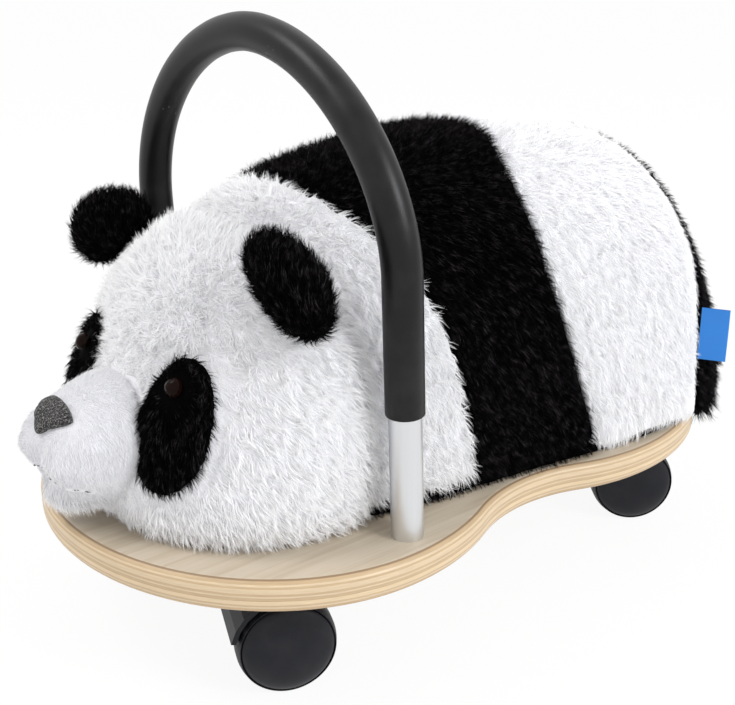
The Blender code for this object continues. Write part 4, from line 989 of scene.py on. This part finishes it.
def furNodes(name, settings, surface, seed):
    tree = bpy.data.node_groups.new(name, "GeometryNodeTree")
    for way in ("INPUT", "OUTPUT"):
        tree.interface.new_socket("Geometry", in_out=way, socket_type="NodeSocketGeometry")
    skin = addNode(tree, "NodeGroupInput").outputs[0]

    def attribute(label, kind="FLOAT"):
        made = addNode(tree, "GeometryNodeInputNamedAttribute", {"Name": label}, data_type=kind)
        return made.outputs["Attribute"]

    def chance(low, high, order, kind="FLOAT"):
        made = addNode(tree, "FunctionNodeRandomValue", data_type=kind)
        sockets = [s for s in made.inputs if s.enabled]
        sockets[0].default_value, sockets[1].default_value = low, high
        made.inputs["Seed"].default_value = seed * chancesPerPiece + order
        return next(s for s in made.outputs if s.enabled)

    def store(geometry, label, value, kind="FLOAT_VECTOR", domain="POINT"):
        return addNode(tree, "GeometryNodeStoreNamedAttribute", {
            "Geometry": geometry, "Name": label, "Value": value}, data_type=kind, domain=domain).outputs[0]

    spacing = settings["spacing"] * 1.0
    scatter = addNode(tree, "GeometryNodeDistributePointsOnFaces", {
        "Mesh": skin, "Distance Min": spacing, "Density Max": settings["crowd"] / spacing ** 2,
        "Density Factor": attribute("furShare"), "Seed": seed}, distribute_method="POISSON")
    points = store(scatter.outputs["Points"], "out", scatter.outputs["Normal"])
    place = addNode(tree, "GeometryNodeInputPosition").outputs[0]
    clump = vectorCalc(tree, "SUBTRACT", speckle(tree, place, 1 / settings["clumpSize"], 1.5, 0.5, "Color"),
                       (0.5, 0.5, 0.5))
    stray = chance((-1, -1, -1), (1, 1, 1), 1, "FLOAT_VECTOR")
    toward = vectorCalc(tree, "SCALE", attribute("out", "FLOAT_VECTOR"), settings["rise"])
    for part, amount in ((attribute("comb", "FLOAT_VECTOR"), "lean"), (clump, "clump"), (stray, "stray")):
        toward = vectorCalc(tree, "ADD", toward, vectorCalc(tree, "SCALE", part, settings[amount]))
    standing = addNode(tree, "FunctionNodeAlignRotationToVector", {"Vector": toward}, axis="Z").outputs[0]
    curl = vectorCalc(tree, "ADD", attribute("comb", "FLOAT_VECTOR"),
                      vectorCalc(tree, "SCALE", clump, settings["clump"] * 2))
    turned = addNode(tree, "FunctionNodeAlignRotationToVector", {"Rotation": standing, "Vector": curl},
                     axis="X", pivot_axis="Z").outputs[0]
    low, high = 1 - settings["spread"], 1 + settings["spread"]
    lock = calc(tree, "SUBTRACT", speckle(tree, place, 1 / settings["lockSize"], 1.0), 0.5)
    lockLength = calc(tree, "MULTIPLY_ADD", lock, settings["lockDepth"], 1.0)
    longness = calc(tree, "MULTIPLY", calc(tree, "MULTIPLY", chance(low, high, 2), attribute("pile")),
                    calc(tree, "MULTIPLY", lockLength, settings["length"]))
    narrow, wide = 1 - settings["widthSpread"], 1 + settings["widthSpread"]
    width = calc(tree, "MULTIPLY", chance(narrow, wide, 3), settings["width"])
    size = addNode(tree, "ShaderNodeCombineXYZ", {0: width, 1: width, 2: longness}).outputs[0]
    count = addNode(tree, "GeometryNodeAttributeDomainSize", {"Geometry": points},
                    component="POINTCLOUD").outputs["Point Count"]
    columns = calc(tree, "CEIL", calc(tree, "SQRT", count))
    index = addNode(tree, "GeometryNodeInputIndex").outputs[0]
    cell = addNode(tree, "ShaderNodeCombineXYZ", {
        0: calc(tree, "DIVIDE", calc(tree, "FLOORED_MODULO", index, columns), columns),
        1: calc(tree, "DIVIDE", calc(tree, "FLOOR", calc(tree, "DIVIDE", index, columns)), columns),
        2: calc(tree, "DIVIDE", 1.0, columns)}).outputs[0]
    points = store(points, "cell", cell)
    points = store(points, "furTone", chance(0.0, 1.0, 4), "FLOAT")
    tuft = addNode(tree, "GeometryNodeObjectInfo", {"Object": tuftPattern, "As Instance": True})
    standingTufts = addNode(tree, "GeometryNodeInstanceOnPoints", {
        "Points": points, "Instance": tuft.outputs["Geometry"], "Rotation": turned, "Scale": size}).outputs[0]
    real = addNode(tree, "GeometryNodeRealizeInstances", {"Geometry": standingTufts}).outputs[0]
    own = attribute("cell", "FLOAT_VECTOR")
    cellWidth = addNode(tree, "ShaderNodeSeparateXYZ", {0: own}).outputs["Z"]
    inner = 1 - 2 * mapMargin
    inCell = vectorCalc(tree, "MULTIPLY_ADD", attribute("OFBake", "FLOAT_VECTOR"), (inner, inner, 0),
                        (mapMargin, mapMargin, 0))
    placed = vectorCalc(tree, "ADD", own, vectorCalc(tree, "SCALE", inCell, cellWidth))
    packed = vectorCalc(tree, "MULTIPLY", placed, (1, 1 - skinMapShare - skinMapGap, 0))
    real = store(real, "OFBake", packed, "FLOAT2", "CORNER")
    joined = addNode(tree, "GeometryNodeJoinGeometry")
    tree.links.new(real, joined.inputs[0])
    tree.links.new(skin, joined.inputs[0])
    dressed = addNode(tree, "GeometryNodeSetMaterial", {"Geometry": joined.outputs[0], "Material": surface})
    for spareName in ("cell", "out", "comb", "pile", "furShare"):
        values = {"Geometry": dressed.outputs[0], "Name": spareName}
        dressed = addNode(tree, "GeometryNodeRemoveAttribute", values)
    smooth = addNode(tree, "GeometryNodeSetShadeSmooth", {"Geometry": dressed.outputs[0]})
    addNode(tree, "NodeGroupOutput", {0: smooth.outputs[0]})
    return tree


def growPlush(name, solid, settings, comb, pile, surface, slotName, fill, seed):
    others = treeOf([other for other in softNodes + ("base_board",) if other != solid])
    piece = softSkin(name, solid, settings, others)
    mapSkin(piece)
    markSkin(piece, others, settings, comb, pile)
    growth = piece.modifiers.new("pile", "NODES")
    growth.node_group = furNodes(name + "Growth", settings, surface, seed)
    finishModifiers(piece)
    declare(piece, "toy", slotName, solid)
    print("stage:", name, len(piece.data.polygons), "faces")


# Pile: lengths in metres, and how strongly the tufts rise, lean, clump and stray
longPile = {
    "cloth": 0.0036, "smoothing": 4, "lump": 0.0012, "lumpScale": 30.0, "inset": 0.0022, "room": 0.0036,
    "length": 0.0058, "spread": 0.20, "width": 0.00036, "widthSpread": 0.25, "spacing": 0.00098, "crowd": 2.2,
    "rise": 0.60, "lean": 0.42, "clump": 1.7, "clumpSize": 0.0046, "stray": 0.16,
    "lockSize": 0.0040, "lockDepth": 1.8,
}
blackPile = {**longPile, "length": 0.0054, "rise": 0.85, "lean": 0.25, "clump": 1.2, "clumpSize": 0.0040}
earPile = {**blackPile, "cloth": 0.0020, "length": 0.0046, "lump": 0.0005, "room": 0.0028,
           "inset": 0.0010, "rise": 0.60, "lean": 0.30}
patchPile = {**blackPile, "cloth": 0.0013, "smoothing": 3, "length": 0.0044, "spacing": 0.00090,
             "lump": 0.0003, "room": 0.0012, "inset": 0.0006, "rise": 0.55, "lean": 0.45}
muzzlePile = {**longPile, "cloth": 0.0016, "length": 0.0028, "width": 0.00022, "spacing": 0.00075,
              "lump": 0.0005, "rise": 0.50, "lean": 0.60, "clump": 0.35, "clumpSize": 0.0050,
              "room": 0.0014, "inset": 0.0006, "lockDepth": 0.5}
backPile = {**longPile, "seamRoom": 0.0012}
rearPile = {**blackPile, "inset": 0.0006}
basePile = {**blackPile, "cloth": 0.0016, "smoothing": 1, "length": 0.0036, "lump": 0.0, "room": 0.0016,
            "inset": 0.0002, "rise": 0.9, "lean": 0.3, "endsAt": 0.058}

# Combing: how strongly the pile is drawn each way, and over which distance
combing = {
    "headAway": 0.75, "headDown": 0.75, "bodyDown": 0.8, "bodyBack": 0.35, "bodyOut": 0.3, "spine": 0.01,
    "hangDown": 3.2, "hangReach": 0.022, "rearDown": 0.9, "rearBack": 0.2, "rearSpread": 0.2, "rearOut": 1.6,
    "patchBack": 0.3, "eyeAway": 3.5, "eyeReach": 0.020,
}
down, backward, upward = Vector((0, 0, -1)), Vector((0, 1, 0)), Vector((0, 0, 1))


def headComb(place, normal):
    away = (place - noseTip).normalized()
    return (away * combing["headAway"] + down * combing["headDown"]).normalized()


def bodyComb(place, normal):
    drawn = down * combing["bodyDown"] + backward * combing["bodyBack"]
    if abs(place.x) > combing["spine"]:
        drawn += Vector((place.x, 0, 0)).normalized() * combing["bodyOut"]
    return drawn


def hangingComb(place, normal):
    low = 1 - easedShare((place.z - boardHigh.z) / combing["hangReach"])
    return bodyComb(place, normal) + down * combing["hangDown"] * low


def rearComb(place, normal):
    outward = Vector((place.x, combing["rearSpread"] * bodyMiddle, place.z - bodyMiddle)).normalized()
    drawn = down * combing["rearDown"] + backward * combing["rearBack"]
    return drawn.lerp(outward * combing["rearOut"], besideSeam(place))


def earComb(place, normal):
    return upward


def patchComb(place, normal):
    away = besideEye(place)[1]
    pull = max(0.0, 1 - away.length / combing["eyeReach"])
    drawn = down * combing["bodyDown"] + backward * combing["patchBack"]
    return drawn * (1 - pull) + away.normalized() * combing["eyeAway"] * pull


# Trimming: shares of the full length, and the distances over which they change
trim = {
    "fringe": 0.35, "fringeReach": 0.016, "seamLoss": 0.50, "seamLow": 0.40, "headLow": 0.40,
    "featureReach": 0.014, "footShare": 0.8, "footHeight": 0.004, "eyeLow": 0.30, "eyeClear": 0.0058,
    "eyeReach": 0.009, "mouthClear": 0.0016, "noseLow": 0.45, "noseReach": 0.022, "chinGain": 1.5,
}


def evenPile(place):
    return 1.0


def basePileShare(place):
    return 1.0 if place.y < basePile["endsAt"] else 0.0


def hangingFringe(place):
    return 1 + trim["fringe"] * (1 - easedShare((place.z - boardHigh.z) / trim["fringeReach"]))


def backPileShare(place):
    return hangingFringe(place) * (trim["seamLow"] + (1 - trim["seamLow"]) * beforeSeam(place))


def rearPileShare(place):
    return hangingFringe(place) * (1 - trim["seamLoss"] * besideSeam(place))


def lowFringe(place):
    return trim["footShare"] if place.z - boardHigh.z < trim["footHeight"] else 1.0


def headPile(place):
    clear = easedShare(featureTree.find_nearest(place)[3] / trim["featureReach"])
    return min(lowFringe(place), trim["headLow"] + (1 - trim["headLow"]) * clear)


def patchPileShare(place):
    beyond = besideEye(place)[0] - trim["eyeClear"]
    return 0.0 if beyond < 0 else min(1.0, trim["eyeLow"] + beyond / trim["eyeReach"])


def muzzlePileShare(place):
    if fromMouth(place) < trim["mouthClear"]:
        return 0.0
    clear = noseTree.find_nearest(place)[3] / trim["noseReach"]
    return min(1.0, trim["noseLow"] + clear) + trim["chinGain"] * belowMouth(place)


# Woven and knitted cloth
def weave(tree, place, settings):
    waves = [addNode(tree, "ShaderNodeTexWave", {
        "Vector": place, "Scale": settings["threads"], "Distortion": settings["distortion"],
        "Detail": settings["detail"]}, bands_direction=way).outputs["Fac"] for way in settings["ways"]]
    return calc(tree, "MULTIPLY", *waves)


knit = {"colour": (0.011, 0.011, 0.012), "ridge": (0.060, 0.058, 0.060), "speck": (0.34, 0.32, 0.31),
        "threads": 190.0, "distortion": 1.2, "detail": 1.0, "ways": ("Z", "X"), "turn": (0.0, 0.5, 0.3),
        "speckLimit": 0.59, "speckShare": 0.6, "bump": (0.5, 0.0005)}
plain = {"distortion": 0.4, "detail": 2.0, "ways": ("Z", "DIAGONAL"), "bump": (0.35, 0.0003)}


def knitMaterial(settings):
    made, tree, shader = newMaterial("noseKnit", Roughness=0.85, Sheen_Weight=0.10, Sheen_Roughness=0.5,
                                     Specular_IOR_Level=0.2)
    cloth = weave(tree, objectPlace(tree, (1, 1, 1), settings["turn"]), settings)
    specks = calc(tree, "GREATER_THAN", spots(tree, 1500.0, 1.0), settings["speckLimit"])
    specks = calc(tree, "MULTIPLY", specks, settings["speckShare"])
    colour = blendColours(tree, cloth, settings["colour"], settings["ridge"])
    plug(tree, shader, Base_Color=blendColours(tree, specks, colour, settings["speck"]))
    addBump(tree, shader, cloth, *settings["bump"])
    return made


def plainCloth(name, settings):
    made, tree, shader = newMaterial(name, Roughness=settings["roughness"], Sheen_Weight=0.15,
                                     Sheen_Roughness=0.5)
    cloth = weave(tree, objectPlace(tree), {**plain, **settings})
    plug(tree, shader, Base_Color=blendColours(tree, cloth, settings["colour"], settings["second"]))
    addBump(tree, shader, cloth, *plain["bump"])
    return made


# Nose: a sewn pad, wide and arched above, pointed below
noseShape = {
    "outline": ((0.0141, 0.1423), (0.0095, 0.1448), (0.0044, 0.1463), (-0.0012, 0.1470), (-0.0077, 0.1466),
                (-0.0128, 0.1451), (-0.0153, 0.1427), (-0.0128, 0.1400), (-0.0082, 0.1368), (-0.0035, 0.1330),
                (0.0016, 0.1362), (0.0076, 0.1388), (0.0118, 0.1406)),
    "middle": (-0.0012, 0.1416), "steps": 6, "fuzz": 0.00025, "fuzzScale": 2600,
    "thickness": 0.0036, "sunk": -0.0010, "ground": {"cloth": 0.0020, "smoothing": 20},
    "rings": ((0.30, 0.0036), (0.55, 0.0035), (0.75, 0.0032), (0.90, 0.0027), (0.97, 0.0021), (1.0, 0.0013),
              (1.0, 0.0002), (0.97, -0.0010)),
}


def closedCurve(corners, steps):
    places = []
    for i in range(len(corners)):
        before, first, second, after = (Vector(corners[(i + k) % len(corners)]) for k in (-1, 0, 1, 2))
        for step in range(steps):
            t = step / steps
            bend = 2 * before - 5 * first + 4 * second - after + t * (3 * (first - second) + after - before)
            places.append(first + 0.5 * t * (second - before + t * bend))
    return places


def buildNose(settings):
    base = softSkin("noseGround", "muzzle", settings["ground"])
    ground = BVHTree.FromPolygons([vert.co for vert in base.data.vertices],
                                  [tuple(face.vertices) for face in base.data.polygons])
    bpy.data.objects.remove(base)
    middle = Vector(settings["middle"])
    outline = closedCurve(settings["outline"], settings["steps"])
    outline = [point + (point - middle).normalized() * settings["fuzz"]
               * noise.noise(Vector((*point, 0)) * settings["fuzzScale"]) for point in outline]
    shape = bmesh.new()

    def raised(flat, height):
        spot, normal = metFromAhead(ground, flat.x, flat.y)
        return shape.verts.new(spot + normal * height)

    rings = [[raised(middle.lerp(point, share), height) for point in outline]
             for share, height in settings["rings"]]
    ends = (raised(middle, settings["thickness"]), raised(middle, settings["sunk"]))
    for i in range(len(outline)):
        after = (i + 1) % len(outline)
        for ring, wider in zip(rings, rings[1:]):
            shape.faces.new((ring[i], ring[after], wider[after], wider[i]))
        shape.faces.new((ends[0], rings[0][after], rings[0][i]))
        shape.faces.new((ends[1], rings[-1][i], rings[-1][after]))
    bmesh.ops.recalc_face_normals(shape, faces=shape.faces)
    piece = newPiece("nosePad", shape, noseKnit, "toy", "nose_knit", "nose")
    return piece


noseKnit = knitMaterial(knit)
standIns["nose"] = buildNose(noseShape).data
noseTree = treeOf(("nose",))


plushPieces = (
    # name, solid, pile, combing, trimming, surface, slot, filling
    ("headPlush", "head", longPile, headComb, headPile, whitePlush, "white_plush", 0.85),
    ("neckPlush", "neck", longPile, bodyComb, lowFringe, whitePlush, "white_plush", 0.85),
    ("shoulderBandPlush", "shoulder_band", blackPile, bodyComb, lowFringe, blackPlush, "black_plush", 0.85),
    ("backPlush", "back", backPile, hangingComb, backPileShare, whitePlush, "white_plush", 0.85),
    ("rearPanelPlush", "rear_panel", rearPile, rearComb, rearPileShare, blackPlush, "black_plush", 0.85),
    ("muzzlePlush", "muzzle", muzzlePile, headComb, muzzlePileShare, shortPlush, "muzzle_plush", 0.9),
    ("leftEarPlush", "ear_left", earPile, earComb, evenPile, blackPlush, "black_plush", 0.7),
    ("rightEarPlush", "ear_right", earPile, earComb, evenPile, blackPlush, "black_plush", 0.7),
    ("leftEyePatchPlush", "eye_patch_left", patchPile, patchComb, patchPileShare, blackPlush,
     "black_plush", 0.6),
    ("rightEyePatchPlush", "eye_patch_right", patchPile, patchComb, patchPileShare, blackPlush,
     "black_plush", 0.6),
    ("basePanelCover", "body_base_panel", basePile, bodyComb, basePileShare, blackPlush, "base_cloth", 0.3),
)
for seed, entry in enumerate(plushPieces, 1):
    growPlush(*entry, seed)
print("stage: plush grown")


# Foam block inside the body
foam = {"colour": (0.62, 0.56, 0.38), "second": (0.72, 0.67, 0.50), "threads": 260.0, "roughness": 0.9,
        "skin": {"cloth": 0.0050, "smoothing": 1}}
foamBlock = softSkin("foamBlock", "body_core", foam["skin"])
foamBlock.data.materials.append(plainCloth("coreFoam", foam))
declare(foamBlock, "toy", "core_foam", "body_core")


# Stitches of the mouth
def buildStitches(settings):
    shape = bmesh.new()
    for start, end in zip(mouthPoints[::2], mouthPoints[1::2]):
        run = end - start
        place = Matrix.Translation((start + end) / 2) @ run.to_track_quat("Z", "Y").to_matrix().to_4x4()
        radius = settings["threadRadius"]
        scale = Matrix.Diagonal((radius, radius, run.length * settings["stitchShare"], 1))
        bmesh.ops.create_uvsphere(shape, u_segments=settings["sides"], v_segments=settings["sides"],
                                  radius=1.0, matrix=place @ scale)
    newPiece("mouthStitches", shape, noseKnit, "toy", "nose_knit", "mouth_stitching")


buildStitches(mouthLine)


# Side tag: a plain ribbon folded on itself and sewn into the rear seam
ribbonTag = {"layerGap": 0.0009, "foldSteps": 8, "runSteps": 6, "heightSteps": 10, "curl": 0.0012,
             "tuck": 0.001, "colour": (0.008, 0.16, 0.56), "second": (0.02, 0.28, 0.76), "threads": 700.0,
             "roughness": 0.55}


def buildTag(settings):
    places = [vert.co for vert in frame["nodes"]["side_tag"].data.vertices]
    low, high = min(place.z for place in places), max(place.z for place in places)
    inner = min(places, key=lambda place: place.x + place.y)
    outer = max(places, key=lambda place: place.x + place.y)
    run = Vector((outer.x - inner.x, outer.y - inner.y, 0))
    out = run.normalized()
    side = Vector((-out.y, out.x, 0))
    half = settings["layerGap"] / 2
    straight = run.length - half
    line = [(-settings["tuck"] + (straight + settings["tuck"]) * i / settings["runSteps"], -half)
            for i in range(settings["runSteps"])]
    fold = [math.pi * (i / settings["foldSteps"] - 0.5) for i in range(settings["foldSteps"] + 1)]
    line += [(straight + half * math.cos(turn), half * math.sin(turn)) for turn in fold]
    line += [(along, half) for along, _ in reversed(line[:settings["runSteps"]])]
    shape = bmesh.new()
    mapLayer = shape.loops.layers.uv.new("UVMap")
    rows = []
    for level in range(settings["heightSteps"] + 1):
        share = level / settings["heightSteps"]
        bow = settings["curl"] * math.sin(math.pi * share)
        foot = Vector((inner.x, inner.y, low + (high - low) * share))
        rows.append([shape.verts.new(foot + out * along + side * (across + bow * along / straight))
                     for along, across in line])
    for level in range(settings["heightSteps"]):
        for i in range(len(line) - 1):
            corners = ((i, level), (i + 1, level), (i + 1, level + 1), (i, level + 1))
            face = shape.faces.new([rows[up][across] for across, up in corners])
            for loop, (across, up) in zip(face.loops, corners):
                loop[mapLayer].uv = (across / (len(line) - 1), up / settings["heightSteps"])
    ribbon = plainCloth("blueRibbon", settings)
    tag = newPiece("sideRibbonTag", shape, ribbon, "toy", "blue_ribbon", "side_tag")


buildTag(ribbonTag)
bpy.data.objects.remove(tuftPattern)
print("stage: small soft pieces ready")
